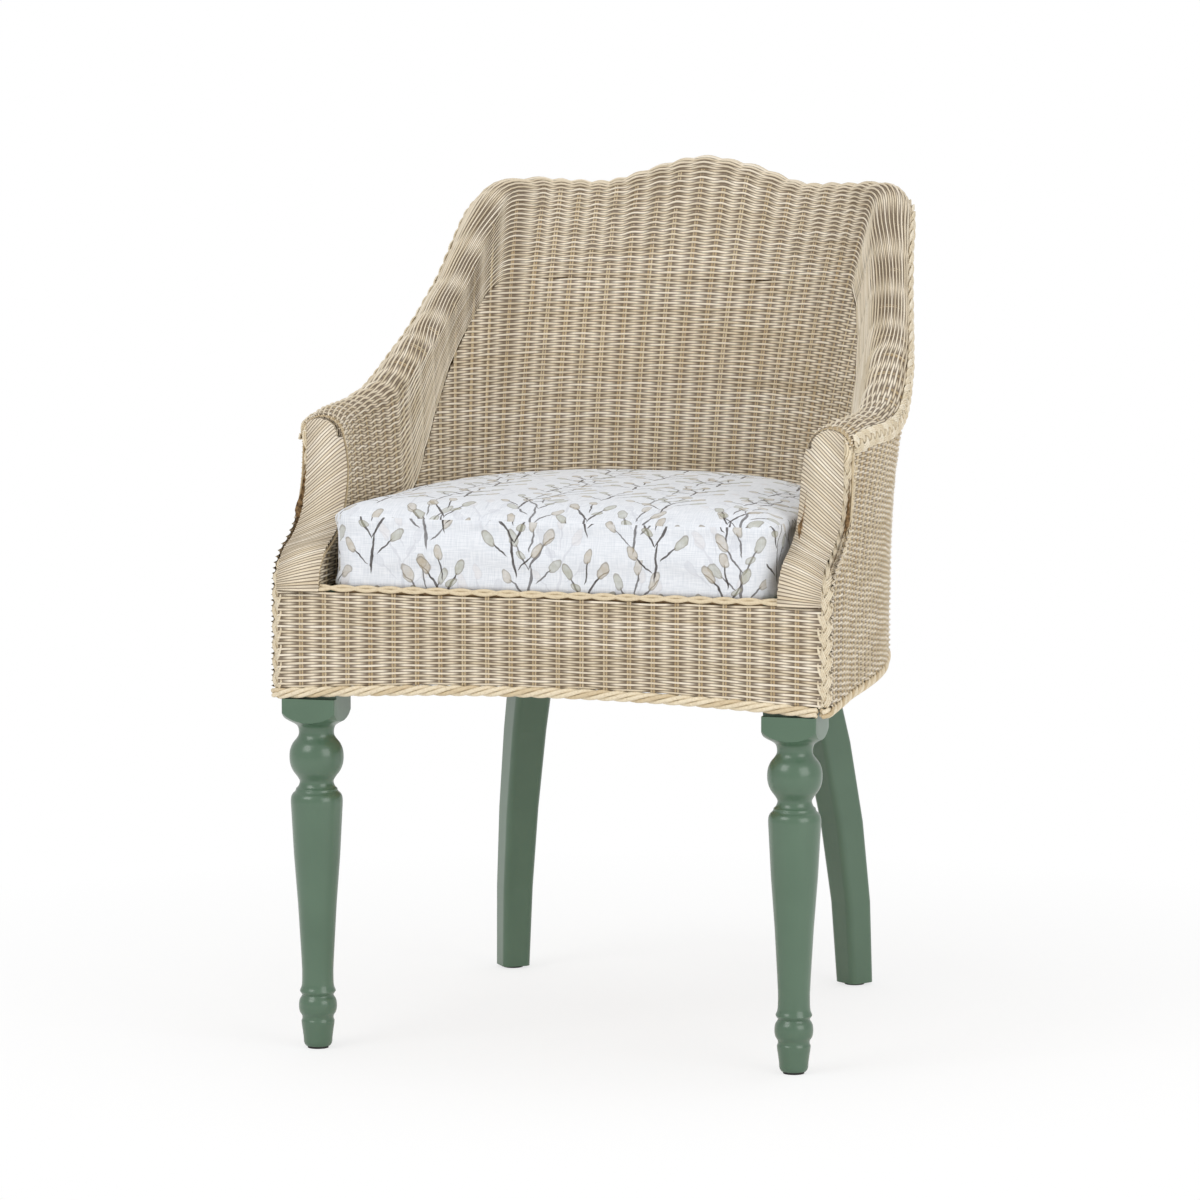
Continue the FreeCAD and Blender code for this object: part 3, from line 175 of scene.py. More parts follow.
# Plaits and borders
PLAIT_ROD, PLAIT_ROD_GAP, PLAIT_LIFT = 2.5 * MM, 2.2 * MM, 0.6
PLAIT_STEPS, TWIST_STEPS = 18, 14
EDGE_PLAIT_WIDTH, EDGE_PLAIT_PERIOD, EDGE_PLAIT_DEPTH = 21 * MM, 50 * MM, 0.6 * MM
EDGE_PLAIT_START, EDGE_PLAIT_CLIMB = 148, 22
CORNER_PLAIT_WIDTH, CORNER_PLAIT_PERIOD, CORNER_PLAIT_DEPTH = 18 * MM, 54 * MM, 2.2 * MM
CORNER_PLAIT_FOOT, PLAIT_RISE = 0.6 * MM, 12 * MM
TWIST_RADIUS, TWIST_ROD, TWIST_PERIOD, TWIST_STRANDS = 3.5 * MM, 2.4 * MM, 70 * MM, 4
BORDER_BEND, BORDER_END = 8.5 * MM, 12 * MM
EDGE_POINTS, CORNER_POINTS, FEET_POINTS, BEND_POINTS = 500, 160, 300, 8
TOP_STRAND, TOP_RISE, TOP_SETBACK = 2.1 * MM, 3.4 * MM, 3.6 * MM
TOP_WAVE_UP, TOP_WAVE_OUT = 1.7 * MM, 1.6 * MM

# Front legs and cushion
LEG_TURNS, LEG_STEPS, LEG_FOOT = 64, 3, 0.9
EDGE_ANGLE = math.radians(35)
LEG_BEVEL, REBATE_GAP = 1.6 * MM, 0.5 * MM
WADDING_GRID, WADDING_SCALE = 12 * MM, 0.96
COVER_GRID, COVER_SCALE, COVER_THICKNESS = 5 * MM, 1.004, 1.8 * MM
SWELL_MOST, SWELL_SUNK, SWELL_PRESSURE, SWELL_FRAMES = 4 * MM, 1 * MM, 4, 20
SMOOTHING, SMOOTH_ROUNDS = 0.5, 4
FLAT_FACING = 0.6
ZIP_MARGIN, ZIP_SHOWS = 8 * MM, 0.8 * MM

# Directions that a rod's rings are squared to, its closed end, and how close points are joined
UP = np.array([0.0, 0.0, 1.0])
SIDEWAYS = np.array([1.0, 0.0, 0.0])
SLANTED = np.array([0.31, 0.17, 0.52])
STEEP = 0.8
ROD_END = 0.02
MERGE, ROD_MERGE, BLOCK_MERGE = 0.001 * MM, 0.12 * MM, 0.01 * MM
RISE_LEAST, LENGTH_LEAST, WHOLE_WITHIN = 1e-7, 1e-9, 1e-6


# Geometry of the tub

def setback(distance):
    """Y of a plane so far behind the front."""
    return distance - HALF_DEPTH


def both_sides(half):
    """Shares for both sides, from those for the right half."""
    left = [(-entry[0],) + tuple(entry[1:]) for entry in half[:0:-1]]
    return np.array(left + list(half))


def eased(points, places):
    """Smooth line through the stations, read at the given places between them."""
    last = len(points) - 1
    index = np.clip(np.floor(places).astype(int), 0, last - 1)
    share = (places - index)[:, None]
    padded = np.vstack([2 * points[0] - points[1], points, 2 * points[-1] - points[-2]])
    p0, p1, p2, p3 = (padded[index + k] for k in range(4))
    return 0.5 * (2 * p1 + (p2 - p0) * share + (2 * p0 - 5 * p1 + 4 * p2 - p3) * share ** 2
                  + (3 * p1 - 3 * p2 + p3 - p0) * share ** 3)


def flowing(points, steps):
    """Smooth line through unevenly spaced points, with so many steps between each two."""
    places = run_length(points)
    slopes = np.gradient(points, places, axis=0)
    start = np.repeat(np.arange(len(points) - 1), steps)
    end = start + 1
    share = np.tile(np.arange(steps) / steps, len(points) - 1)[:, None]
    squared, cubed = share ** 2, share ** 3
    gap = np.diff(places)[start][:, None]
    middle = (2 * cubed - 3 * squared + 1) * points[start] + (3 * squared - 2 * cubed) * points[end]
    bend = (cubed - 2 * squared + share) * slopes[start] + (cubed - squared) * slopes[end]
    return middle + gap * bend


def unit(vectors):
    return vectors / np.maximum(np.linalg.norm(vectors, axis=-1, keepdims=True), LENGTH_LEAST)


def run_length(points):
    """Distance along a line of points, from its start."""
    steps = np.linalg.norm(np.diff(points, axis=0), axis=1)
    return np.concatenate([[0], np.cumsum(steps)])


def along_line(points, distances, length=None):
    """Points of a line at distances along it, or values along it where its running length is given."""
    length = run_length(points) if length is None else length
    return np.stack([np.interp(distances, length, points[:, axis]) for axis in range(3)], axis=1)


def station_feet(shares, half_width, depth, height):
    """Foot of a wall at every station, on one level."""
    line = both_sides(shares)
    level = np.full(len(line), height)
    return np.stack([line[:, 0] * half_width, setback(line[:, 1] * depth), level], axis=1)


def station_centres():
    """Centre of the rolled edge at every station."""
    line = both_sides(ROLL_SHARES)
    height = ARM_HEIGHT - ROLL_RADIUS + line[:, 2] * (SHOULDER_HEIGHT - ARM_HEIGHT)
    height = height + line[:, 3] * (CREST_HEIGHT - SHOULDER_HEIGHT)
    return np.stack([line[:, 0] * ARM_HALF_WIDTH, setback(line[:, 1] * CREST_SETBACK), height], axis=1)


STATIONS = 2 * len(ROLL_SHARES) - 1
FINE_PLACES = np.linspace(0, STATIONS - 1, (STATIONS - 1) * PLACES_PER_STATION + 1)


def stake_places(feet, spacing):
    """Places between stations with whole numbers of steps between stakes, and the stake number there."""
    fine = eased(feet, FINE_PLACES)
    length = run_length(fine)
    half = round(length[-1] / 2 / spacing)
    count = np.linspace(-half, half, 2 * half * STEPS_PER_STAKE + 1)
    wanted = (count / half + 1) / 2 * length[-1]
    return np.interp(wanted, length, FINE_PLACES), count


def roll_lines(places):
    """Centre, outward and upward direction of the rolled edge at those places."""
    centres = station_centres()
    step = 0.02
    ahead, behind = np.clip(places + step, 0, STATIONS - 1), np.clip(places - step, 0, STATIONS - 1)
    tangent = unit(eased(centres, ahead) - eased(centres, behind))
    outward = unit(np.stack([-tangent[:, 1], tangent[:, 0], np.zeros(len(places))], axis=1))
    upward = unit(np.cross(tangent, outward))
    upward[upward[:, 2] < 0] *= -1
    return eased(centres, places), outward, upward


def roll_point(centre, outward, upward, radius, turn):
    """Point round the rolled edge, turned from its inner side over its top."""
    return centre - outward * (radius * math.cos(turn)) + upward * (radius * math.sin(turn))


def leaning(foot, head, power, shares):
    """Line up a wall, which leans out more and more toward its head."""
    lean = (shares ** power)[:, None]
    flat = (head - foot) * [1, 1, 0]
    return foot + flat * lean + np.outer(shares, UP) * (head[2] - foot[2])


def inner_line(foot, centre, outward, upward):
    """A stake from the deck up the inner wall and over the rolled edge."""
    run = max(np.linalg.norm((centre - foot)[:2]) - ROLL_RADIUS, 0)
    lean = math.atan(INNER_LEAN_POWER * run / (centre[2] - foot[2]))
    head = roll_point(centre, outward, upward, ROLL_RADIUS, lean)
    wall = leaning(foot, head, INNER_LEAN_POWER, np.linspace(0, 1, WALL_POINTS)[:-1])
    turns = np.linspace(lean, ROLL_END, ROLL_POINTS)
    return np.vstack([wall, [roll_point(centre, outward, upward, ROLL_RADIUS, turn) for turn in turns]])


def outer_top(foot, centre, outward, upward):
    """Angle and place where the outer skin meets the rolled edge."""
    run = max((centre - foot) @ outward + ROLL_RADIUS, 0)
    lean = max(math.atan(OUTER_LEAN_POWER * run / (centre[2] - foot[2])), OUTER_LEAN_LEAST)
    return lean, roll_point(centre, outward, upward, ROLL_RADIUS, math.pi + lean)


def scroll_line(count):
    """Side view of the arm front, from the deck up, on the middle plane."""
    shares = np.array(SCROLL_SHARES)
    rise = ARM_HEIGHT - ROLL_RADIUS - DECK
    points = np.zeros((len(shares), 3))
    points[:, 1] = setback(APRON_SETBACK + shares[:, 1] * (ARM_FRONT_SETBACK - APRON_SETBACK))
    points[:, 2] = WALL_FOOT + shares[:, 0] * rise
    return eased(points, np.linspace(0, len(points) - 1, count))


def inner_front_x(heights, centre):
    """Right inner edge of the arm front, which bends out to the rolled edge near its top."""
    share = np.clip((heights - centre[2]) / FRONT_BEND + 1, 0, 1)
    return SEAT_HALF_WIDTH + (abs(centre[0]) - ROLL_RADIUS - SEAT_HALF_WIDTH) * share ** 2


def front_line(side, centre, inset=0.0):
    """The last stake, up the arm front and over its rounded end, or that line moved in under the face."""
    wall = scroll_line(WALL_POINTS)[:-1]
    wall[:, 0] = side * (inner_front_x(wall[:, 2], centre) + inset)
    wall[:, 1] -= inset * FACE_SLANT
    nose = np.array([centre[0], setback(ARM_FRONT_SETBACK) - inset * FACE_SLANT, centre[2]])
    roll = []
    for turn in np.linspace(0, ROLL_END, ROLL_POINTS):
        radius = ROLL_RADIUS - inset - NOSE_ROUNDING * math.sin(min(turn, math.pi / 2))
        roll.append(roll_point(nose, np.array([side, 0, 0]), UP, radius, turn))
    return np.vstack([wall, roll])


def skin_front_x(height, head_x, head_z):
    """Right edge of the front corner at a height."""
    share = np.clip((height - SKIN_BOTTOM) / (head_z - SKIN_BOTTOM), 0, 1)
    return SKIRT_HALF_WIDTH + (head_x - SKIRT_HALF_WIDTH) * share ** OUTER_LEAN_POWER


def corner_edge(top):
    """Side view of the front corner from the skirt's foot up the scroll to a height."""
    foot = [[0, setback(APRON_SETBACK), z] for z in np.linspace(SKIN_BOTTOM, DECK, FOOT_POINTS)[:-1]]
    line = np.vstack([foot, scroll_line(SKIN_POINTS)])
    line = line[line[:, 2] < top]
    return np.vstack([line, [0, line[-1, 1], top]])


def end_profile():
    """Where the outer skin's top lies at the arm's end: its x and z on the right."""
    centre, outward, upward = (part[0] for part in roll_lines(np.array([STATIONS - 1.0])))
    foot = station_feet(OUTER_SHARES, SKIRT_HALF_WIDTH, SKIRT_DEPTH, SKIN_BOTTOM)[-1]
    return outer_top(foot, centre, outward, upward)[1]


def resampled(line, count):
    """The same line with so many evenly spaced points."""
    return along_line(line, np.linspace(0, run_length(line)[-1], count))


def with_fronts(lines, count, left_front, right_front):
    """Adds lines between the last stake of an arm and its front edge, at both arms."""
    steps = np.linspace(0, 1, FRONT_STAKES * STEPS_PER_STAKE + 1)[1:]
    ends = (lines[0], lines[-1], left_front, right_front)
    first, last, left, right = (resampled(line, LINE_POINTS) for line in ends)
    before = [first + (left - first) * step for step in steps[::-1]]
    after = [last + (right - last) * step for step in steps]
    added = steps * FRONT_STAKES
    count = np.concatenate([count[0] - added[::-1], count, count[-1] + added])
    return before + lines + after, count


def inner_lines():
    """Lines up the inner wall and over the rolled edge, with a lip under each face, and their stakes."""
    feet = station_feet(INNER_SHARES, SEAT_HALF_WIDTH, SEAT_DEPTH, WALL_FOOT)
    places, count = stake_places(feet, STAKE_SPACING)
    centres, outward, upward = roll_lines(places)
    lines = [inner_line(*parts) for parts in zip(eased(feet, places), centres, outward, upward)]
    lines, count = with_fronts(lines, count, front_line(-1, centres[0]), front_line(1, centres[-1]))
    lips = [resampled(front_line(side, centres[end], LIP), LINE_POINTS) for side, end in ((-1, 0), (1, -1))]
    count = np.concatenate([[count[0] - LIP_SHARE], count, [count[-1] + LIP_SHARE]])
    return [lips[0]] + lines + [lips[1]], count


def outer_lines():
    """Lines up the outer wall and their stake numbers; those near a corner stay behind the corner's line."""
    feet = station_feet(OUTER_SHARES, SKIRT_HALF_WIDTH, SKIRT_DEPTH, SKIN_BOTTOM)
    places, count = stake_places(feet, OUTER_STAKE_SPACING)
    centres, outward, upward = roll_lines(places)
    lines = []
    for foot, centre, out, up in zip(eased(feet, places), centres, outward, upward):
        head = outer_top(foot, centre, out, up)[1]
        lines.append(leaning(foot, head, OUTER_LEAN_POWER, np.linspace(0, 1, SKIN_POINTS)))
    top = end_profile()
    edge = corner_edge(top[2])
    fronts = []
    for side in (-1, 1):
        front = edge.copy()
        front[:, 0] = side * skin_front_x(edge[:, 2], top[0], top[2])
        front[:, 1] += PLAIT_INSET - TUCK
        fronts.append(front)
    for number in range(2 * STEPS_PER_STAKE):
        for line, front in ((lines[number], fronts[0]), (lines[-1 - number], fronts[1])):
            least = np.interp(line[:, 2], front[:, 2], front[:, 1]) + (number + CORNER_CLEAR) * CORNER_STEP
            line[:, 1] = np.maximum(line[:, 1], least)
    return with_fronts(lines, count, *fronts)


# Meshes of the weave

def sheet_object(name, points, faces, weave=None):
    """Surface of points and faces; a woven one also maps its stakes and rows."""
    mesh = bpy.data.meshes.new(name)
    mesh.from_pydata(points.tolist(), [], faces.tolist())
    if weave is not None:
        layer = mesh.uv_layers.new(name="weave")
        loops = np.zeros(len(mesh.loops), int)
        mesh.loops.foreach_get("vertex_index", loops)
        layer.data.foreach_set("uv", weave[loops].ravel())
    mesh.shade_smooth()
    piece = bpy.data.objects.new(name, mesh)
    bpy.context.scene.collection.objects.link(piece)
    return piece


def grid_faces(columns, rows, flip):
    """Four-sided faces between the points of a grid."""
    a = (np.arange(columns - 1)[:, None] * rows + np.arange(rows - 1)[None, :]).ravel()
    faces = np.stack([a, a + rows, a + rows + 1, a + 1], axis=1)
    return faces[:, ::-1] if flip else faces


def grid_normals(grid):
    across = np.gradient(grid, axis=0)
    upward = np.gradient(grid, axis=1)
    return unit(np.cross(across, upward))


def by_height(line, heights):
    """Points of a rising line at the given heights."""
    order = np.maximum.accumulate(line[:, 2] + np.arange(len(line)) * RISE_LEAST)
    heights = np.clip(heights, order[0], order[-1])
    return np.stack([np.interp(heights, order, line[:, axis]) for axis in range(3)], axis=1)


def height_levels(lines, tops):
    """Grid of points on level rows, from the lines' feet up to each line's top."""
    low = lines[len(lines) // 2][0, 2]
    levels = np.arange(0, int((np.max(tops) - low) / ROW_PITCH) + 0.5, 0.5)
    heights = low + levels * ROW_PITCH
    grid = np.stack([by_height(line, np.minimum(heights, top)) for line, top in zip(lines, tops)])
    done = heights[None, :] > np.asarray(tops)[:, None] + ROW_PITCH
    return grid, levels, done


def spread_levels(lines, starts, ends, rows):
    """Grid of points on a fixed number of rows, spread between two distances along each line."""
    levels = np.arange(0, rows + 0.5, 0.5)
    shares = levels / rows
    places = [end + (start - end) * shares for start, end in zip(starts, ends)]
    grid = np.stack([along_line(line, place) for line, place in zip(lines, places)])
    return grid, levels, np.zeros(grid.shape[:2], bool)


def woven_sheet(name, grid, levels, done, count, sign, downward=False, swing=WEAVE_SWING, parts=("",)):
    """Rows of weavers that swing over and under the stakes, on a grid of their middles and joints."""
    normals = grid_normals(grid) * (-sign if downward else sign)
    crown = (np.arange(len(levels)) % 2 == 1)[None, :]
    parity = 1 - 2 * (np.floor(levels)[None, :] % 2)
    wave = np.cos(math.pi * count)[:, None] * parity
    top = swing * np.sign(wave) * np.abs(wave) ** SWING_FLATNESS - swing + WEAVE_LIFT
    lift = np.where(crown, top, -swing - WEAVE_GROOVE)
    lift = lift + crown * ROD_UNEVENNESS * np.sin(UNEVEN_TURN * np.floor(levels) ** UNEVEN_POWER)
    points = grid + normals * lift[:, :, None]
    wander = sum(np.sin(across * count[:, None] + up * levels) for across, up in WANDER_WAVES)
    points[:, :, 2] += ROW_WANDER * wander
    weave = np.stack(np.broadcast_arrays(count[:, None], levels[None, :]), axis=2)
    ends = np.linspace(0, len(grid) - 1, len(parts) + 1).astype(int)
    pieces = []
    for part, start, end in zip(parts, ends, ends[1:] + 1):
        faces = grid_faces(end - start, len(levels), (sign < 0) != downward)
        faces = faces[~done[start:end].ravel()[faces].any(axis=1)]
        piece = sheet_object(name + part, points[start:end].reshape(-1, 3), faces,
                             weave[start:end].reshape(-1, 2))
        clean(piece)
        pieces.append(piece)
    return pieces


def clean(piece, merge=MERGE):
    """Joins points that fall together, and takes out faces without area and points that nothing uses."""
    shape = bmesh.new()
    shape.from_mesh(piece.data)
    bmesh.ops.remove_doubles(shape, verts=shape.verts, dist=merge)
    bmesh.ops.dissolve_degenerate(shape, dist=MERGE, edges=shape.edges)
    bmesh.ops.delete(shape, geom=[v for v in shape.verts if not v.link_faces], context="VERTS")
    shape.to_mesh(piece.data)
    shape.free()


def strands(name, paths, radius, sides=6):
    """Round rods along their paths, closed at their ends, as one piece."""
    turns = np.linspace(0, 2 * math.pi, sides, endpoint=False)[None, :, None]
    points, faces, used = [], [], 0
    for path in paths:
        tangent = unit(np.gradient(path, axis=0))
        path = np.vstack([path[0] - tangent[0] * radius / 2, path, path[-1] + tangent[-1] * radius / 2])
        tangent = np.vstack([tangent[0], tangent, tangent[-1]])
        width = np.full((len(path), 1, 1), radius)
        width[[0, -1]] *= ROD_END
        steep = np.abs(tangent[:, 2:]) >= STEEP
        guide = np.where(steep, SIDEWAYS, UP)
        if steep.any() and not steep.all():
            guide = np.broadcast_to(unit(np.cross(tangent.mean(axis=0), SLANTED)), tangent.shape)
        across = unit(np.cross(tangent, guide))
        over = np.cross(across, tangent)
        spokes = across[:, None, :] * np.cos(turns) + over[:, None, :] * np.sin(turns)
        ring = path[:, None, :] + width * spokes
        points.append(ring.reshape(-1, 3))
        rows = np.arange(len(path) - 1)[:, None] * sides
        a = rows + np.arange(sides)
        b = rows + (np.arange(sides) + 1) % sides
        faces.append(np.stack([a, a + sides, b + sides, b], axis=2).reshape(-1, 4) + used)
        used += ring.shape[0] * sides
    piece = sheet_object(name, np.vstack(points), np.vstack(faces))
    clean(piece, ROD_MERGE)
    return piece


def stake_rods(name, lines, count, sign, trim):
    """Pairs of stakes at the whole numbers of the count."""
    grid = np.stack([resampled(line, STAKE_POINTS) for line in lines])
    normals = grid_normals(grid) * sign
    paths = []
    for index, number in enumerate(count):
        if abs(number - round(number)) > WHOLE_WITHIN or index in (0, len(lines) - 1):
            continue
        across = unit(grid[index + 1] - grid[index - 1])
        middle = grid[index] - normals[index] * STAKE_DEPTH
        places = np.linspace(0, run_length(lines[index])[-1] - trim, STAKE_STEPS)
        for side in (-1, 1):
            paths.append(along_line(middle + across * (side * STAKE_HALF_PAIR), places))
    return strands(name, paths, STAKE_RADIUS, sides=5)


def backing(name, lines, sign):
    """Plain inner side of a woven wall, a sheet in painted shade that shows through the gaps."""
    grid = np.stack([resampled(line, BACKING_POINTS) for line in lines[::BACKING_SKIP]])
    points = grid - grid_normals(grid) * (sign * BACKING_DEPTH)
    return sheet_object(name, points.reshape(-1, 3), grid_faces(points.shape[0], BACKING_POINTS, sign > 0))


def body_ride(piece, body="frame"):
    """Puts a piece on a body."""
    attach(piece, body)
    return piece


# Woven pieces

def dress_weave(sheets, stakes, back, weave):
    """Puts a wall's sheets, stakes and inner side on the frame, each under its finish."""
    for piece, made in [(sheet, weave) for sheet in sheets] + [(stakes, STAKE), (back, BACKING)]:
        body_ride(piece)
        finish(piece, made)


def band_starts(lines, count):
    """Height where the rows that follow the rolled edge begin on each line."""
    middle, end = lines[len(lines) // 2], lines[int(np.argmin(np.abs(count + BAND_LOWEST)))]
    crest_rise = CREST_HEIGHT - SHOULDER_HEIGHT
    high = along_line(middle, [run_length(middle)[-1] - EDGE_BAND - crest_rise])[0, 2]
    low = along_line(end, [run_length(end)[-1] - EDGE_BAND])[0, 2]
    share = np.clip((np.abs(count) - BAND_TURN_START) / (BAND_TURN_END - BAND_TURN_START), 0, 1)
    rows = round((high - middle[0, 2]) / ROW_PITCH)
    high = middle[0, 2] + rows * ROW_PITCH
    return high + (low - high) * share ** 2 * (3 - 2 * share)


def seat_wall():
    """Inner wall: level rows up to a band of rows that follows the rolled edge."""
    lines, count = inner_lines()
    lengths = np.array([run_length(line)[-1] for line in lines])
    heights = band_starts(lines, count)
    risings = [line[:RISING_POINTS] for line in lines]
    starts = np.array([np.interp(height, np.maximum.accumulate(rising[:, 2]), run_length(rising))
                       for rising, height in zip(risings, heights)])
    low = woven_sheet("seat_wall_rows", *height_levels(lines, heights), count, 1)
    grid, levels, done = spread_levels(lines, starts, lengths, round(EDGE_BAND / ROW_PITCH))
    grid[:, :, 2] += SCALLOP * np.cos(2 * math.pi * count)[:, None] * np.sin(math.pi * levels / levels[-1])
    band = woven_sheet("rolled_edge_rows", grid, levels, done, count, 1, True)
    stakes = stake_rods("seat_wall_stakes", lines, count, 1, STAKE_TRIM)
    back = backing("seat_wall_backing", lines, 1)
    dress_weave(low + band, stakes, back, WEAVE)
    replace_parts(band[0], "inner_shell")


def outer_wall():
    """Outer wall: level rows from the skirt up to the rolled edge, in three pieces."""
    lines, count = outer_lines()
    rows = woven_sheet("outer_wall_rows", *height_levels(lines, [line[-1, 2] for line in lines]), count, -1,
                       swing=OUTER_SWING, parts=("_left", "_back", "_right"))
    stakes = stake_rods("outer_wall_stakes", lines, count, -1, OUTER_STAKE_TRIM)
    back = backing("outer_wall_backing", lines, -1)
    dress_weave(rows, stakes, back, OUTER_WEAVE)
    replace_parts(rows[0], "outer_skin")


def arch(places, half):
    """Rise of the bottom border's flat arch at places across it."""
    radius = (half ** 2 + BORDER_ARCH ** 2) / (2 * BORDER_ARCH)
    return np.sqrt(radius ** 2 - places ** 2) - radius + BORDER_ARCH


def apron_lines():
    """Lines down the apron, from its top to the arch of its foot, and their stake numbers."""
    half = SKIRT_HALF_WIDTH - PLAIT_INSET + TUCK
    stakes = round(2 * half / APRON_STAKE_SPACING)
    count = np.linspace(0, stakes, stakes * STEPS_PER_STAKE + 1)
    places = count / stakes * 2 * half - half
    y = setback(APRON_SETBACK)
    lows = SKIN_BOTTOM + arch(places, half)
    return [np.array([[place, y, APRON_TOP], [place, y, low]]) for place, low in zip(places, lows)], count


def apron():
    """Apron across the front: its rows spread evenly between its top and its arched foot."""
    lines, count = apron_lines()
    lengths = np.array([run_length(line)[-1] for line in lines])
    levels = spread_levels(lines, lengths, 0 * lengths, round(lengths.mean() / ROW_PITCH))
    rows = woven_sheet("apron_rows", *levels, count, -1)
    stakes = stake_rods("apron_stakes", lines, count, -1, 0)
    back = backing("apron_backing", lines, -1)
    dress_weave(rows, stakes, back, WEAVE)
    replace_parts(rows[0], "apron_front")


def face_line(levels, across, centre, side):
    """One line up the face of the arm, capped over its round end; across is its x at each level."""
    line = np.column_stack([across, levels[:, 1:]])
    radius = ROLL_RADIUS - NOSE_ROUNDING - ARM_CAP_GAP
    arched = centre[2] + math.sqrt(max(radius ** 2 - (across[-1] - centre[0]) ** 2, 0))
    heights = np.linspace(line[-1, 2], max(arched, line[-1, 2] + 1 * MM), CAP_POINTS + 1)[1:]
    cap = np.column_stack([np.tile(line[-1, :2], (CAP_POINTS, 1)), heights])
    return np.vstack([line, cap]) * [side, 1, 1]


def arm_front(side, suffix):
    """Face of the arm: rows that turn round the inner corner and sweep down to the corner plait."""
    top = end_profile()
    centre = roll_lines(np.array([STATIONS - 1.0]))[0][0]
    levels = scroll_line(SCROLL_POINTS)
    levels[0, 2] = APRON_TOP
    steps = np.linspace(0, 1, ARM_STAKES * STEPS_PER_STAKE + 1)
    outer = skin_front_x(levels[:, 2], top[0], top[2]) - PLAIT_INSET + TUCK
    inner = inner_front_x(levels[:, 2], centre)
    lines = [face_line(levels, inner + (outer - inner) * step, centre, side) for step in steps]
    lengths = np.array([run_length(line)[-1] for line in lines])
    rows = np.arange(0, int((lengths.max() + ARM_SWEEP) / ARM_ROW_PITCH) + 0.5, 0.5)
    run = rows * ARM_ROW_PITCH
    grid = np.zeros((len(lines), len(rows), 3))
    done = np.zeros((len(lines), len(rows)), bool)
    for index, (line, step) in enumerate(zip(lines, steps)):
        distance = run - ARM_SWEEP * step ** ARM_SWEEP_POWER * np.clip(run / ARM_SWEEP_START, 0, 1)
        grid[index] = along_line(line, np.minimum(distance, lengths[index]))
        grid[index, :, 1] -= ARM_BULGE * math.sin(math.pi * step)
        done[index] = distance > lengths[index] + ARM_ROW_PITCH
    count = ARM_COUNT_START + ARM_COUNT_RUN * steps
    sheet = woven_sheet("arm_front_rows" + suffix, grid, rows, done, count, -side)[0]
    nose = np.array([side * centre[0], setback(ARM_FRONT_SETBACK), centre[2]])
    coil = coiled_end("arm_end_coil" + suffix, nose)
    body_ride(sheet)
    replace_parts(sheet, "arm_front" + suffix)
    finish(sheet, WEAVE)
    body_ride(coil)
    finish(coil, BORDER)


def coiled_end(name, centre):
    """Coil of core that closes the round end of the arm."""
    turns = np.linspace(0, 2 * math.pi * COIL_TURNS, COIL_STEPS * COIL_TURNS)
    reach = np.linspace(COIL_EYE, ROLL_RADIUS - NOSE_ROUNDING, len(turns))
    bulge = COIL_BULGE * (1 - (reach / reach[-1]) ** 2)
    path = centre + np.column_stack([reach * np.cos(turns), COIL_DEPTH - bulge, reach * np.sin(turns)])
    return strands(name, [path], reach[-1] / COIL_TURNS / 2)


# Plaits and twisted borders

def plait(name, path, across, outward, width, period):
    """Three flat strands of three rods each, laid over each other in turn."""
    distance = run_length(path)
    fine = np.arange(0, distance[-1], period / PLAIT_STEPS)
    middle, across, outward = (along_line(values, fine, distance) for values in (path, across, outward))
    ahead, across, outward = unit(np.gradient(middle, axis=0)), unit(across), unit(outward)
    reach = width / 2 - PLAIT_ROD_GAP - PLAIT_ROD / 2
    paths = []
    for strand in range(3):
        turn = 2 * math.pi * (fine / period + strand / 3)
        slope = reach * 2 * math.pi / period * np.cos(turn)
        lift = np.sin(2 * turn) * PLAIT_ROD * PLAIT_LIFT
        for rod in (-PLAIT_ROD_GAP, 0, PLAIT_ROD_GAP):
            turned = rod / np.sqrt(1 + slope ** 2)
            shift = across * (reach * np.sin(turn) + turned)[:, None] - ahead * (turned * slope)[:, None]
            paths.append(middle + shift + outward * lift[:, None])
    return strands(name, paths, PLAIT_ROD / 2)


def rolled_edge_plait():
    """Plait on the underside of the rolled edge, between its weave and the outer wall."""
    places = np.linspace(0, STATIONS - 1, EDGE_POINTS)
    centres, outward, upward = roll_lines(places)
    feet = eased(station_feet(OUTER_SHARES, SKIRT_HALF_WIDTH, SKIRT_DEPTH, SKIN_BOTTOM), places)
    rise = np.interp(places, np.arange(STATIONS), both_sides(ROLL_SHARES)[:, 2])
    path, across, facing = [], [], []
    for foot, centre, out, up, climb in zip(feet, centres, outward, upward, rise):
        lean = outer_top(foot, centre, out, up)[0]
        start = math.radians(EDGE_PLAIT_START + EDGE_PLAIT_CLIMB * min(max(climb, 0), 1))
        turn = (start + math.pi + lean) / 2
        direction = -out * math.cos(turn) + up * math.sin(turn)
        path.append(centre + direction * (ROLL_RADIUS - EDGE_PLAIT_DEPTH))
        facing.append(direction)
        across.append(-out * math.sin(turn) - up * math.cos(turn))
    piece = plait("rolled_edge_plait", np.array(path), np.array(across), np.array(facing), EDGE_PLAIT_WIDTH,
                  EDGE_PLAIT_PERIOD)
    body_ride(piece)
    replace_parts(piece, "crest_braid")
    finish(piece, PLAIT)


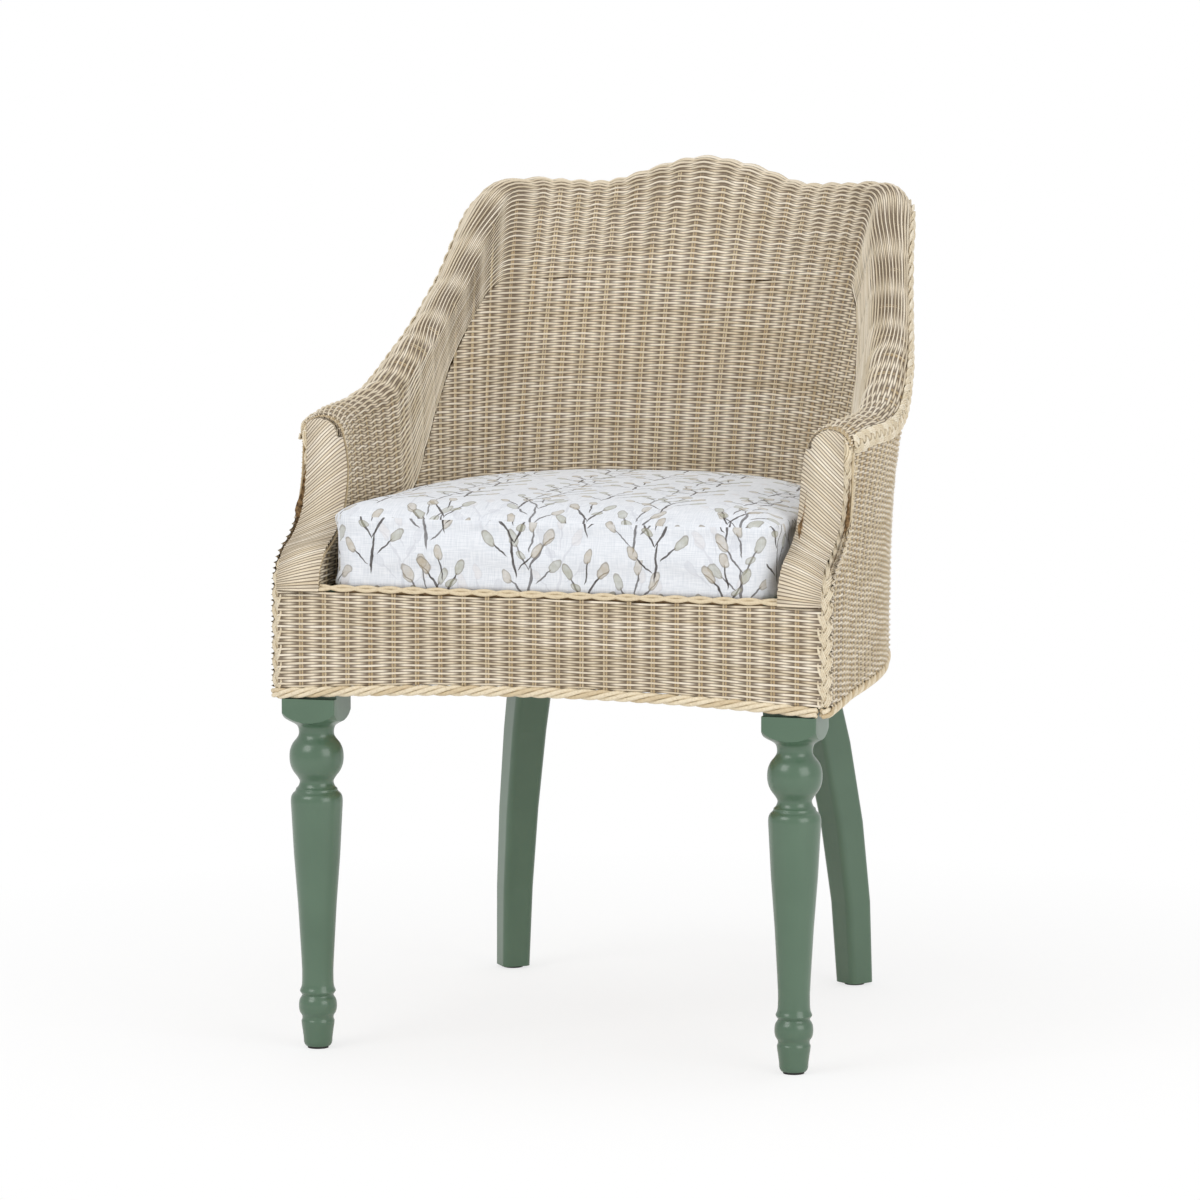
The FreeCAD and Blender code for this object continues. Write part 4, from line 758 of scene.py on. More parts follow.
def corner_plait(side, suffix):
    """Plait across the front corner, from the skirt's foot up to the rolled edge."""
    top = end_profile()
    edge = resampled(corner_edge(top[2] + PLAIT_RISE), CORNER_POINTS)
    edge[0, 2] += CORNER_PLAIT_FOOT
    x = skin_front_x(edge[:, 2], top[0], top[2])
    tangent = unit(np.gradient(edge, axis=0))
    inward = np.stack([np.zeros(len(edge)), tangent[:, 2], -tangent[:, 1]], axis=1)
    near = edge + np.outer(x - PLAIT_INSET, [side, 0, 0])
    far = edge + np.outer(x, [side, 0, 0]) + inward * PLAIT_INSET
    across = unit(far - near)
    outward = unit(np.cross(across, tangent)) * side
    middle = (near + far) / 2 - outward * CORNER_PLAIT_DEPTH
    piece = plait("corner_plait" + suffix, middle, across, outward, CORNER_PLAIT_WIDTH, CORNER_PLAIT_PERIOD)
    body_ride(piece)
    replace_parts(piece, "front_braid" + suffix)
    finish(piece, PLAIT)


def twisted(name, path):
    """Border of rods twisted round each other along a path."""
    fine = np.arange(0, run_length(path)[-1], TWIST_PERIOD / TWIST_STEPS)
    middle = along_line(path, fine)
    tangent = unit(np.gradient(middle, axis=0))
    side = unit(np.cross(tangent, UP))
    over = np.cross(side, tangent)
    paths = []
    for strand in range(TWIST_STRANDS):
        turn = (2 * math.pi * (fine / TWIST_PERIOD + strand / TWIST_STRANDS))[:, None]
        paths.append(middle + (side * np.cos(turn) + over * np.sin(turn)) * TWIST_RADIUS)
    piece = strands(name, paths, TWIST_ROD, sides=7)
    body_ride(piece)
    finish(piece, BORDER)
    return piece


def bottom_borders():
    """Twisted borders at the foot of the weave: one arched across the front, one round the rest."""
    half = SKIRT_HALF_WIDTH - BORDER_END
    x = np.linspace(-half, half, LINE_POINTS)
    front = np.column_stack([x, np.full(len(x), setback(BORDER_RADIUS)), BORDER_HEIGHT + arch(x, half)])
    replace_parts(twisted("apron_border", front), "bottom_border_front")
    shares = station_feet(OUTER_SHARES, SKIRT_HALF_WIDTH, SKIRT_DEPTH, BORDER_HEIGHT)
    feet = eased(shares, np.linspace(0, STATIONS - 1, FEET_POINTS))
    line = feet + np.cross(unit(np.gradient(feet, axis=0)), UP) * BORDER_RADIUS
    corner = SKIRT_HALF_WIDTH - BORDER_RADIUS - BORDER_BEND
    turns = np.linspace(0, math.pi / 2, BEND_POINTS)
    arc = np.column_stack([corner + BORDER_BEND * np.sin(turns),
                           setback(BORDER_RADIUS) + BORDER_BEND * (1 - np.cos(turns)),
                           np.full(len(turns), BORDER_HEIGHT)])
    rear = np.vstack([arc * [-1, 1, 1], line, arc[::-1]])
    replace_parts(twisted("skirt_border", resampled(rear, EDGE_POINTS)), "bottom_border_rear")


def apron_top():
    """Strands that dip behind and come up before each stake along the apron's top."""
    half = SEAT_HALF_WIDTH - SEAM
    x = np.linspace(-half, half, EDGE_POINTS)
    wave = np.cos(math.pi * (x + half) / APRON_STAKE_SPACING)
    paths = []
    for sign in (-1, 1):
        y = setback(APRON_SETBACK + TOP_SETBACK) + wave * sign * TOP_WAVE_OUT
        z = DECK + TOP_RISE + wave * sign * TOP_WAVE_UP
        paths.append(np.column_stack([x, y, z]))
    piece = strands("apron_top_strands", paths, TOP_STRAND, sides=8)
    body_ride(piece)
    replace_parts(piece, "apron_top_border")
    finish(piece, BORDER)


# Painted legs

def select_only(piece):
    bpy.ops.object.select_all(action="DESELECT")
    piece.select_set(True)
    bpy.context.view_layer.objects.active = piece


def apply_modifier(piece, modifier):
    select_only(piece)
    bpy.ops.object.modifier_apply(modifier=modifier.name)


def turned_form(name, middle, outline):
    """Round form spun from its outline of radius and height, closed at both ends."""
    mesh = bpy.data.meshes.new(name)
    piece = bpy.data.objects.new(name, mesh)
    bpy.context.scene.collection.objects.link(piece)
    shape = bmesh.new()
    line = [shape.verts.new((middle[0] + radius, middle[1], LEG_LIFT + height))
            for radius, height in outline]
    for start, end in zip(line, line[1:]):
        shape.edges.new((start, end))
    bmesh.ops.spin(shape, geom=shape.verts[:] + shape.edges[:], cent=(*middle, 0), axis=(0, 0, 1),
                   angle=2 * math.pi, steps=LEG_TURNS, use_merge=True)
    bmesh.ops.remove_doubles(shape, verts=shape.verts, dist=BLOCK_MERGE)
    bmesh.ops.recalc_face_normals(shape, faces=shape.faces)
    shape.to_mesh(mesh)
    shape.free()
    return piece


def cut_square(piece, middle, height):
    """Cuts the turned form to its square blank, whose faces the turning then meets in arches."""
    bpy.ops.mesh.primitive_cube_add(size=1, location=(*middle, height / 2),
                                    scale=(LEG_BLANK, LEG_BLANK, height * 2))
    blank = bpy.context.object
    bevel = blank.modifiers.new("eased_edges", "BEVEL")
    bevel.width, bevel.segments = LEG_BEVEL, 3
    apply_modifier(blank, bevel)
    cut = piece.modifiers.new("square_faces", "BOOLEAN")
    cut.operation, cut.solver, cut.object = "INTERSECT", "EXACT", blank
    apply_modifier(piece, cut)
    bpy.data.objects.remove(blank)


def front_leg(side, suffix):
    """A blank turned below its shoulder, with a rebated square top behind the apron."""
    middle = (side * LEG_SPREAD, setback(LEG_SETBACK))
    turned = LEG_SHOULDER - LEG_LIFT
    half = LEG_BLANK / 2
    low = BORDER_HEIGHT - BORDER_RADIUS
    profile = np.array([(TURNING_SHARES[0][0] * LEG_FOOT, 0)] + TURNING_SHARES) * [half, turned]
    smooth = flowing(profile, LEG_STEPS)
    outline = [(0, 0)] + [(radius, height) for radius, height in smooth if height < turned]
    outline += [(smooth[-1, 0], turned), (smooth[-1, 0], low - LEG_LIFT), (0, low - LEG_LIFT)]
    bpy.ops.object.select_all(action="DESELECT")
    piece = turned_form("turned_leg" + suffix, middle, outline)
    cut_square(piece, middle, turned)
    rebate = APRON_SETBACK + SHELL_THICKNESS + REBATE_GAP
    rear = LEG_SETBACK + half
    place = (middle[0], setback((rebate + rear) / 2), (low + DECK) / 2)
    bpy.ops.mesh.primitive_cube_add(size=1, location=place, scale=(LEG_BLANK, rear - rebate, DECK - low))
    top = bpy.context.object
    select_only(piece)
    top.select_set(True)
    bpy.ops.object.join()
    bpy.ops.object.shade_smooth_by_angle(angle=EDGE_ANGLE)
    body_ride(piece)
    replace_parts(piece, "front_leg" + suffix)
    finish(piece, PAINT)


# Cushion

def soft_block(name, voxel, grow):
    """Closed form with an even grid, grown from the cushion's solid."""
    mesh = frame["nodes"]["cushion_foam"].data.copy()
    piece = bpy.data.objects.new(name, mesh)
    bpy.context.scene.collection.objects.link(piece)
    clean(piece, BLOCK_MERGE)
    middle = sum((Vector(corner) for corner in piece.bound_box), Vector()) / 8
    mesh.transform(Matrix.Translation(middle) @ Matrix.Scale(grow, 4) @ Matrix.Translation(-middle))
    remesh = piece.modifiers.new("even_grid", "REMESH")
    remesh.mode, remesh.voxel_size = "VOXEL", voxel
    apply_modifier(piece, remesh)
    return piece


def smoothed(piece):
    smooth = piece.modifiers.new("soft_corners", "SMOOTH")
    smooth.factor, smooth.iterations = SMOOTHING, SMOOTH_ROUNDS
    apply_modifier(piece, smooth)
    piece.data.shade_smooth()


def cushion():
    """Boxed cushion: a cover swollen by a cloth simulation, over its filling."""
    filling = soft_block("cushion_wadding", WADDING_GRID, WADDING_SCALE)
    smoothed(filling)
    body_ride(filling, "cushion")
    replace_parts(filling, "cushion_foam")
    finish(filling, FILLING)
    cover = soft_block("boxed_cushion", COVER_GRID, COVER_SCALE)
    swell(cover)
    thick = cover.modifiers.new("cover_thickness", "DISPLACE")
    thick.strength, thick.mid_level = COVER_THICKNESS, 0
    apply_modifier(cover, thick)
    smoothed(cover)
    finer = cover.modifiers.new("finer", "SUBSURF")
    finer.levels = finer.render_levels = 1
    apply_modifier(cover, finer)
    tuck_behind(cover, "zip_chain")
    print_map(cover)
    body_ride(cover, "cushion")
    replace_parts(cover, "cushion_cover")
    finish(cover, LINEN)


def read_vectors(items, attribute):
    """One vector for each vertex or face of a mesh."""
    values = np.zeros(len(items) * 3)
    items.foreach_get(attribute, values)
    return values.reshape(-1, 3)


def swell(piece):
    """Inflates the cover a little: its faces belly between the seams and hardly sink at the edges."""
    vertices = piece.data.vertices
    facing, before = read_vectors(vertices, "normal"), read_vectors(vertices, "co")
    cloth = piece.modifiers.new("pressure", "CLOTH")
    cloth.settings.use_pressure = True
    cloth.settings.uniform_pressure_force = SWELL_PRESSURE
    cloth.settings.effector_weights.gravity = 0
    cloth.point_cache.frame_start, cloth.point_cache.frame_end = 1, SWELL_FRAMES
    scene = bpy.context.scene
    for number in range(1, SWELL_FRAMES + 1):
        scene.frame_set(number)
    apply_modifier(piece, cloth)
    move = read_vectors(piece.data.vertices, "co") - before
    size = np.linalg.norm(move, axis=1, keepdims=True)
    move *= np.minimum(1, SWELL_MOST / np.maximum(size, LENGTH_LEAST))
    inward = np.minimum((move * facing).sum(axis=1, keepdims=True) + SWELL_SUNK, 0)
    move -= inward * facing
    piece.data.vertices.foreach_set("co", (before + move).ravel())
    scene.frame_set(1)


def print_map(piece):
    """Map of the cloth in metres: the top by its plan, the boxing by its run and its height."""
    mesh = piece.data
    points = read_vectors(mesh.vertices, "co")
    low, high = points.min(axis=0), points.max(axis=0)
    corners = np.zeros(len(mesh.loops), int)
    mesh.loops.foreach_get("vertex_index", corners)
    sizes = np.zeros(len(mesh.polygons), int)
    mesh.polygons.foreach_get("loop_total", sizes)
    facing = np.repeat(read_vectors(mesh.polygons, "normal"), sizes, axis=0)
    x, y, z = points[corners].T
    side = high[0] + y - low[1]
    rear = 2 * high[0] + high[1] - low[1] - np.abs(x)
    sideways = np.abs(facing[:, 0]) > np.abs(facing[:, 1])
    run = np.sign(x) * np.where(sideways, side, rear)
    run = np.where(~sideways & (facing[:, 1] < 0), x, run)
    flat = np.abs(facing[:, 2]) > FLAT_FACING
    rise = np.where(flat, y - low[1] + high[2], z) - low[2]
    layer = mesh.uv_layers.new(name="cloth")
    layer.data.foreach_set("uv", np.column_stack([np.where(flat, x, run), rise]).ravel())


def tuck_behind(piece, node_name):
    """Lets the back of the cover lie just under the face of the zip."""
    low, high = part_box(node_name)
    for point in piece.data.vertices:
        place = point.co
        beside = low.x - ZIP_MARGIN < place.x < high.x + ZIP_MARGIN
        level = low.z - ZIP_MARGIN / 2 < place.z < high.z + ZIP_MARGIN / 2
        if beside and level and place.y > low.y - ZIP_MARGIN:
            place.y = min(place.y, high.y - ZIP_SHOWS)


# Materials

def linear(code):
    """sRGB hex to the linear values that a shader takes."""
    parts = [int(code[k:k + 2], 16) / 255 for k in (1, 3, 5)]
    return tuple(c / 12.92 if c <= 0.04045 else ((c + 0.055) / 1.055) ** 2.4 for c in parts) + (1.0,)


def fill(tree, socket, value):
    """Links an output to an input, or gives the input its value."""
    if isinstance(value, bpy.types.NodeSocket):
        tree.links.new(value, socket)
    else:
        socket.default_value = value


def node(tree, kind, *values, out=None, **named):
    """Adds a node and gives one of its outputs. Words in small letters are its settings. Values and
    links fill the inputs that the node then shows, in order, or those that words with a capital name."""
    new = tree.nodes.new("ShaderNode" + kind)
    for key, value in named.items():
        if key.islower():
            setattr(new, key, value)
    for socket, value in zip([socket for socket in new.inputs if socket.enabled], values):
        fill(tree, socket, value)
    for key, value in named.items():
        if not key.islower():
            fill(tree, new.inputs[key], value)
    return new.outputs[out] if out else next(socket for socket in new.outputs if socket.enabled)


def material(name):
    made = bpy.data.materials.new(name)
    made.use_nodes = True
    return made, made.node_tree


def surface(made, **values):
    """Fills inputs of the material's shader, with an underscore for each space in their names."""
    shader = made.node_tree.nodes["Principled BSDF"]
    for key, value in values.items():
        fill(made.node_tree, shader.inputs[key.replace("_", " ")], value)
    return made


def per_metre(*sizes):
    """How often patterns of these sizes repeat in a metre along x, y and z."""
    return tuple(1 / size for size in sizes)


def woven_rattan(name, dip_start, dip_end, dip_shade):
    """Split rattan core, woven: dull straw rods, each in its own tone, with painted shade in joints and
    dips.
    """
    made, tree = material(name)
    place = node(tree, "UVMap", uv_map="weave")
    stake = node(tree, "SeparateXYZ", place, out="X")
    row = node(tree, "SeparateXYZ", place, out="Y")
    level = node(tree, "Math", row, operation="FLOOR")
    across = node(tree, "Math", node(tree, "Math", row, operation="FRACT"), 0.5, operation="SUBTRACT")
    across = node(tree, "Math", across, operation="ABSOLUTE")
    odd = node(tree, "Math", level, 2.0, operation="MODULO")
    parity = node(tree, "Math", odd, -2.0, 1.0, operation="MULTIPLY_ADD")
    turn = node(tree, "Math", stake, math.pi, operation="MULTIPLY")
    swing = node(tree, "Math", node(tree, "Math", turn, operation="COSINE"), parity, operation="MULTIPLY")
    # Painted shade: each row darkens toward SHADE at its joints with the next rows.
    groove_painted_shade = node(tree, "MapRange", across, 0.22, 0.48, 0.0, GROOVE_SHADE)
    # Painted shade: a rod darkens toward SHADE where it swings back behind a stake.
    dip_painted_shade = node(tree, "MapRange", swing, dip_start, dip_end, 0.0, dip_shade)
    along = node(tree, "Math", stake, STAKE_SPACING / TONE_RUN, operation="MULTIPLY")
    rod = node(tree, "CombineXYZ", along, node(tree, "Math", level, TONE_STEP, operation="MULTIPLY"))
    tone = node(tree, "MapRange", node(tree, "TexNoise", rod, 1.0, 1.0), 0.34, 0.66)
    own = node(tree, "TexWhiteNoise", level, noise_dimensions="1D")
    own = node(tree, "Math", own, 0.45, operation="MULTIPLY")
    run = node(tree, "Math", stake, STAKE_SPACING / STAIN_LENGTH, operation="MULTIPLY")
    rise = node(tree, "Math", row, ROW_PITCH / STAIN_WIDTH, operation="MULTIPLY")
    spot = node(tree, "CombineXYZ", run, rise)
    stain = node(tree, "MapRange", node(tree, "TexNoise", spot, 1.0, 3.0), 0.62, 0.80, 0.0, 0.45)
    colour = linear(STRAW_DARK)
    for share, over in ((tone, STRAW_LIGHT), (own, STRAW_WARM), (stain, STRAW_STAIN), (groove_painted_shade, SHADE),
                        (dip_painted_shade, SHADE)):
        colour = node(tree, "Mix", share, colour, linear(over), data_type="RGBA")
    squared = node(tree, "Math", across, across, operation="MULTIPLY")
    height = node(tree, "Math", squared, -4.0, 1.0, operation="MULTIPLY_ADD")
    bump = node(tree, "Bump", Strength=0.5, Distance=0.9 * MM, Height=height)
    return surface(made, Base_Color=colour, Normal=bump, Roughness=0.62, Specular_IOR_Level=0.3)


def rattan_rods(name, light, dark):
    """Round rattan core, peeled: mottled by its fibres, satin, with a tone of its own on each rod."""
    made, tree = material(name)
    own = node(tree, "NewGeometry", out="Random Per Island")
    place = node(tree, "TexCoord", out="Object")
    fibre = node(tree, "TexNoise", place, 1 / FIBRE_SPOT, 3.0)
    tone = node(tree, "Mix", own, linear(dark), linear(light), data_type="RGBA")
    stain = node(tree, "MapRange", fibre, 0.45, 0.75, 0.0, 0.35)
    tone = node(tree, "Mix", stain, tone, linear(STRAW_STAIN), data_type="RGBA")
    bump = node(tree, "Bump", Strength=0.25, Distance=0.4 * MM, Height=fibre)
    return surface(made, Base_Color=tone, Normal=bump, Roughness=0.55, Specular_IOR_Level=0.35)


def shaded_backing():
    """Inner side of the weave: matt, in painted shade, the brown that rattan shows in the weave's own shade.
    """
    made, tree = material("rattan_inner_side_painted_shade")
    fibre = node(tree, "TexNoise", node(tree, "TexCoord", out="Object"), 1 / BACKING_SPOT, 3.0)
    share = node(tree, "MapRange", fibre, 0.35, 0.7)
    tone = node(tree, "Mix", share, linear(SHADE), linear(STRAW_STAIN), data_type="RGBA")
    return surface(made, Base_Color=tone, Roughness=0.85)


def satin_paint():
    """Sage green paint brushed on turned wood: satin, with faint strokes along the leg."""
    made, tree = material("sage_satin_paint")
    place = node(tree, "TexCoord", out="Object")
    strokes = node(tree, "Mapping", place, Scale=per_metre(STROKE_WIDTH, STROKE_WIDTH, STROKE_LENGTH))
    brush = node(tree, "TexNoise", strokes, 1.0, 3.0)
    cloud = node(tree, "TexNoise", place, 1 / PAINT_CLOUD, 2.0)
    tone = node(tree, "Mix", cloud, linear(SAGE_DARK), linear(SAGE_LIGHT), data_type="RGBA")
    bump = node(tree, "Bump", Strength=0.18, Distance=0.4 * MM, Height=brush)
    return surface(made, Base_Color=tone, Normal=bump, Roughness=0.3, Specular_IOR_Level=0.5,
                   Coat_Weight=0.35, Coat_Roughness=0.16)


def sawn_wood(name, light, dark):
    """Plain sawn wood under the seat: matt, with its grain from side to side."""
    made, tree = material(name)
    place = node(tree, "TexCoord", out="Object")
    lines = node(tree, "Mapping", place, Scale=per_metre(GRAIN_LENGTH, GRAIN_WIDTH, GRAIN_WIDTH))
    grain = node(tree, "TexNoise", lines, 1.0, 4.0)
    share = node(tree, "MapRange", grain, 0.3, 0.7)
    tone = node(tree, "Mix", share, linear(dark), linear(light), data_type="RGBA")
    bump = node(tree, "Bump", Strength=0.2, Distance=0.3 * MM, Height=grain)
    return surface(made, Base_Color=tone, Normal=bump, Roughness=0.6)


def plain(name, tone, roughness, metallic=0.0):
    """Small hardware and trim, with a fine mottle in its finish."""
    made, tree = material(name)
    mottle = node(tree, "TexNoise", node(tree, "TexCoord", out="Object"), 1 / MOTTLE, 3.0)
    base = linear(tone)
    darker = tuple(c * 0.75 for c in base[:3]) + (1.0,)
    mixed = node(tree, "Mix", mottle, darker, base, data_type="RGBA")
    return surface(made, Base_Color=mixed, Roughness=roughness, Metallic=metallic)


def petal(tree, cell, place, angle, length, width):
    """Distance from an oval's middle, one at its rim; cell is in metres."""
    turned = node(tree, "Mapping", cell, vector_type="TEXTURE", Location=(*place, 0.0),
                  Rotation=(0.0, 0.0, math.radians(angle)), Scale=(length / 2, width / 2, 1.0))
    return node(tree, "VectorMath", turned, operation="LENGTH", out="Value")


def sprig_cell(tree, cloth, size, shift, twist):
    """Place inside a repeat of that size, in staggered columns, flipped at random and a little twisted."""
    across = node(tree, "Math", node(tree, "SeparateXYZ", cloth, out="X"), 1 / size[0], shift[0],
                  operation="MULTIPLY_ADD")
    along = node(tree, "Math", node(tree, "SeparateXYZ", cloth, out="Y"), 1 / size[1], shift[1],
                 operation="MULTIPLY_ADD")
    column = node(tree, "Math", across, operation="FLOOR")
    odd = node(tree, "Math", node(tree, "Math", column, operation="ABSOLUTE"), 2.0, operation="MODULO")
    along = node(tree, "Math", odd, STAGGER, along, operation="MULTIPLY_ADD")
    seed = node(tree, "CombineXYZ", column, node(tree, "Math", along, operation="FLOOR"))
    chance = node(tree, "TexWhiteNoise", seed, noise_dimensions="2D")
    flip = node(tree, "Math", chance, 0.5, operation="GREATER_THAN")
    flip = node(tree, "Math", flip, 2.0, -1.0, operation="MULTIPLY_ADD")
    x, y = (node(tree, "Math", node(tree, "Math", place, operation="FRACT"), length, -length / 2,
                 operation="MULTIPLY_ADD") for place, length in ((across, size[0]), (along, size[1])))
    cell = node(tree, "CombineXYZ", node(tree, "Math", x, flip, operation="MULTIPLY"), y)
    wobble = node(tree, "TexNoise", cloth, 1 / WOBBLE, 2.0, out="Color")
    away = node(tree, "VectorMath", wobble, (0.5, 0.5, 0.5), operation="SUBTRACT")
    return node(tree, "VectorMath", away, (twist, twist, twist), cell, operation="MULTIPLY_ADD")


def sprig_layer(tree, cloth, base, cell, sprigs, strength):
    """Sprigs printed over the base, with washy leaves and a darker line at each leaf's rim."""
    wash = node(tree, "TexNoise", cloth, 1 / WASH, 3.0)
    tone = base
    for place, angle, length, width, ink, rim in sprigs:
        reach = petal(tree, cell, place, angle, length, width)
        body = node(tree, "MapRange", reach, 1.0, 0.86, 0.0, strength * (0.75 if rim else 1.0))
        uneven = node(tree, "MapRange", wash, 0.3, 0.7, 0.6 if rim else 0.85, 1.0)
        soft = node(tree, "Math", body, uneven, operation="MULTIPLY")
        tone = node(tree, "Mix", soft, tone, linear(ink), data_type="RGBA")
        if rim:
            inside = node(tree, "MapRange", reach, 0.74, 0.95, 0.0, strength * 0.7)
            outside = node(tree, "MapRange", reach, 1.06, 0.97)
            line = node(tree, "Math", inside, outside, operation="MULTIPLY")
            tone = node(tree, "Mix", line, tone, linear(rim), data_type="RGBA")
    return tone


def mm(*values):
    """Millimetres in metres."""
    return tuple(value * MM for value in values)


def sprigs(stem, leaf, leaf_other, rim):
    """A forked twig with a leaf at each tip, drawn from ovals: place, direction, length, width, ink, rim."""
    twigs = [((0, -22), 84, 46, 3.0), ((8, 8), 56, 36, 2.6), ((-8, 6), 118, 32, 2.4), ((2, 24), 80, 28, 2.0),
             ((14, -14), 44, 24, 2.0), ((-13, -26), 136, 26, 1.8), ((21, 24), 40, 14, 1.5)]
    leaves = [((20, 27), 62, 21, 10.0), ((-18, 25), 112, 19, 9.5), ((4, 41), 74, 17, 8.5),
              ((27, -2), 48, 19, 9.0), ((-25, -14), 122, 17, 8.5), ((-9, 9), 152, 12, 6.5)]
    drawn = [(mm(*place), angle, length * MM, width * MM, stem, None)
             for place, angle, length, width in twigs]
    for index, (place, angle, length, width) in enumerate(leaves):
        ink = leaf if index % 2 else leaf_other
        drawn.append((mm(*place), angle, length * MM, width * MM, ink, rim))
    return drawn


def printed_linen():
    """Slubby half-linen in cool white, printed with leafy sprigs over paler ones; its threads show."""
    made, tree = material("sprig_printed_linen")
    cloth = node(tree, "UVMap", uv_map="cloth")
    warp = node(tree, "Mapping", cloth, Scale=per_metre(THREAD_WIDTH, SLUB_LENGTH, 1))
    weft = node(tree, "Mapping", cloth, Scale=per_metre(SLUB_LENGTH, THREAD_WIDTH, 1))
    warp, weft = node(tree, "TexNoise", warp, 1.0, 2.0), node(tree, "TexNoise", weft, 1.0, 2.0)
    slub = node(tree, "Math", warp, weft, operation="ADD")
    share = node(tree, "MapRange", slub, 0.75, 1.25)
    tone = node(tree, "Mix", share, linear(LINEN_DARK), linear(LINEN_LIGHT), data_type="RGBA")
    ghost = sprigs(GHOST_INK, GHOST_INK, GHOST_WARM, GHOST_INK)
    bold = sprigs(STEM_INK, LEAF_GREEN, LEAF_BEIGE, LEAF_RIM)
    for repeat, shift, drawn, strength, twist in (
            ((84, 122), (0.37, 0.18), ghost, 0.55, 8), ((112, 96), (0.68, 0.11), bold, 0.85, 7),
            ((76, 104), (0.0, 0.45), bold, 1.0, 6)):
        cell = sprig_cell(tree, cloth, mm(*repeat), shift, twist * MM)
        tone = sprig_layer(tree, cloth, tone, cell, drawn, strength)
    bump = node(tree, "Bump", Strength=0.3, Distance=0.3 * MM, Height=slub)
    return surface(made, Base_Color=tone, Normal=bump, Roughness=0.88, Sheen_Weight=0.15,
                   Specular_IOR_Level=0.2)


def finish(piece, made):
    piece.data.materials.clear()
    piece.data.materials.append(made)


# Real sizes of the patterns; threads and fibres are drawn coarser than they are, so that they show
TONE_RUN = 197.3 * MM
STAIN_LENGTH, STAIN_WIDTH = 1.507 * MM, 0.875 * MM
FIBRE_SPOT, BACKING_SPOT = 2.38 * MM, 3.85 * MM
STROKE_WIDTH, STROKE_LENGTH, PAINT_CLOUD = 3.85 * MM, 71.4 * MM, 55.6 * MM
GRAIN_LENGTH, GRAIN_WIDTH = 41.7 * MM, 5.56 * MM
MOTTLE = 3.33 * MM
THREAD_WIDTH, SLUB_LENGTH = 1.11 * MM, 16.7 * MM
WOBBLE, WASH = 14.286 * MM, 6.25 * MM

# How far apart two rods' tones lie, how much painted shade their joint gets, and how far a column of sprigs
# is shifted
TONE_STEP, GROOVE_SHADE, STAGGER = 7.3, 0.88, 0.43

STRAW_LIGHT, STRAW_DARK, STRAW_WARM = "#F8EEDC", "#D4C5AA", "#E7D6B9"
# SHADE is the colour of painted shade in the weave's joints, dips and inner side.
STRAW_STAIN, SHADE = "#A8885F", "#4A3318"
SAGE_LIGHT, SAGE_DARK = "#536E58", "#49634E"
LINEN_LIGHT, LINEN_DARK = "#E6E8EC", "#D2D6DC"
STEM_INK, LEAF_GREEN, LEAF_BEIGE, LEAF_RIM = "#484240", "#A2A18C", "#B3A68E", "#7C7466"
GHOST_INK, GHOST_WARM = "#C6C8CF", "#D3CDCB"

# Both weaves carry painted shade in joints and dips; the outer wall's copy spreads its painted dip shade
# over more of each rod.
WEAVE = woven_rattan("woven_rattan_core", -0.1, -0.85, 0.75)
OUTER_WEAVE = woven_rattan("outer_woven_rattan_core_painted_shade", 0.6, -0.4, 0.64)
# Stakes are painted darker than the rods' own straw, for the shade they sit in behind the rows: painted
# shade.
STAKE = rattan_rods("rattan_core_rods_in_painted_shade", "#D2C2A2", "#B09A76")
BORDER = rattan_rods("rattan_border_rods", "#E6D9BE", "#C9B591")
PLAIT = rattan_rods("pale_cane_plait", "#EDE4D0", "#D8CAAE")
BACKING = shaded_backing()
PAINT = satin_paint()
LINEN = printed_linen()
BEECH = sawn_wood("sawn_beech", "#C9A67A", "#A98558")
ROD = rattan_rods("rattan_pole", "#C9AE84", "#B2936A")
STEEL = plain("zinc_plated_steel", "#B9BCBE", 0.35, 1.0)
NYLON = plain("nylon_glide", "#2A2826", 0.5)
TAPE = plain("zip_tape_weave", "#D8D4CC", 0.8)
BRASS = plain("zip_slider_metal", "#A8A49B", 0.4, 1.0)
FILLING = plain("polyester_wadding", "#E8E6E0", 0.95)
NODE_FINISH = {"sage_paint": PAINT, "zinc_steel": STEEL, "glide_plastic": NYLON, "printed_linen": LINEN,
               "cushion_fill": FILLING, "zip_tape": TAPE, "zip_metal": BRASS, "beech": BEECH,
               "rattan_rod": ROD, "rattan_weave": STAKE, "pale_plait": PLAIT}


def dress_frame():
    """Every CAD node gets the finish of its slot."""
    for row in frame["record"]["subparts"]:
        finish(frame["nodes"][row["node"]], NODE_FINISH[row["material_slot"]])


# Studio

VIEW_AZIMUTH = math.radians(15.85)
VIEW_ELEVATION = math.radians(6.62)
VIEW_DISTANCE = 6.354
VIEW_TARGET = Vector((-0.018, -0.0674, 0.453))
VIEW_LENS, VIEW_SENSOR, VIEW_END = 178.4, 36, 100
FLOOR_SIZE, FLOOR_GLOW = 14, 0.72
SHADOW_REACH, WHITE_REACH = 0.45, 1.1
WORLD_GLOW = 0.7
LIGHT_AIM = Vector((0, 0, 0.5))
LIGHTS = (
    ("key", (-1.6, -2.6, 2.4), 1.8, 34),
    ("fill", (2.6, -1.8, 1.4), 2.0, 30),
    ("top", (0.2, 0.6, 3.0), 2.2, 12),
)


def camera():
    """Camera at the place that was solved from the photo."""
    data = bpy.data.cameras.new("camera")
    data.lens, data.sensor_width, data.clip_end = VIEW_LENS, VIEW_SENSOR, VIEW_END
    piece = bpy.data.objects.new("camera", data)
    back = Vector((math.sin(VIEW_AZIMUTH) * math.cos(VIEW_ELEVATION),
                   -math.cos(VIEW_AZIMUTH) * math.cos(VIEW_ELEVATION), math.sin(VIEW_ELEVATION)))
    piece.location = VIEW_TARGET + back * VIEW_DISTANCE
    piece.rotation_euler = back.to_track_quat("Z", "Y").to_euler()
    bpy.context.scene.collection.objects.link(piece)
    bpy.context.scene.camera = piece


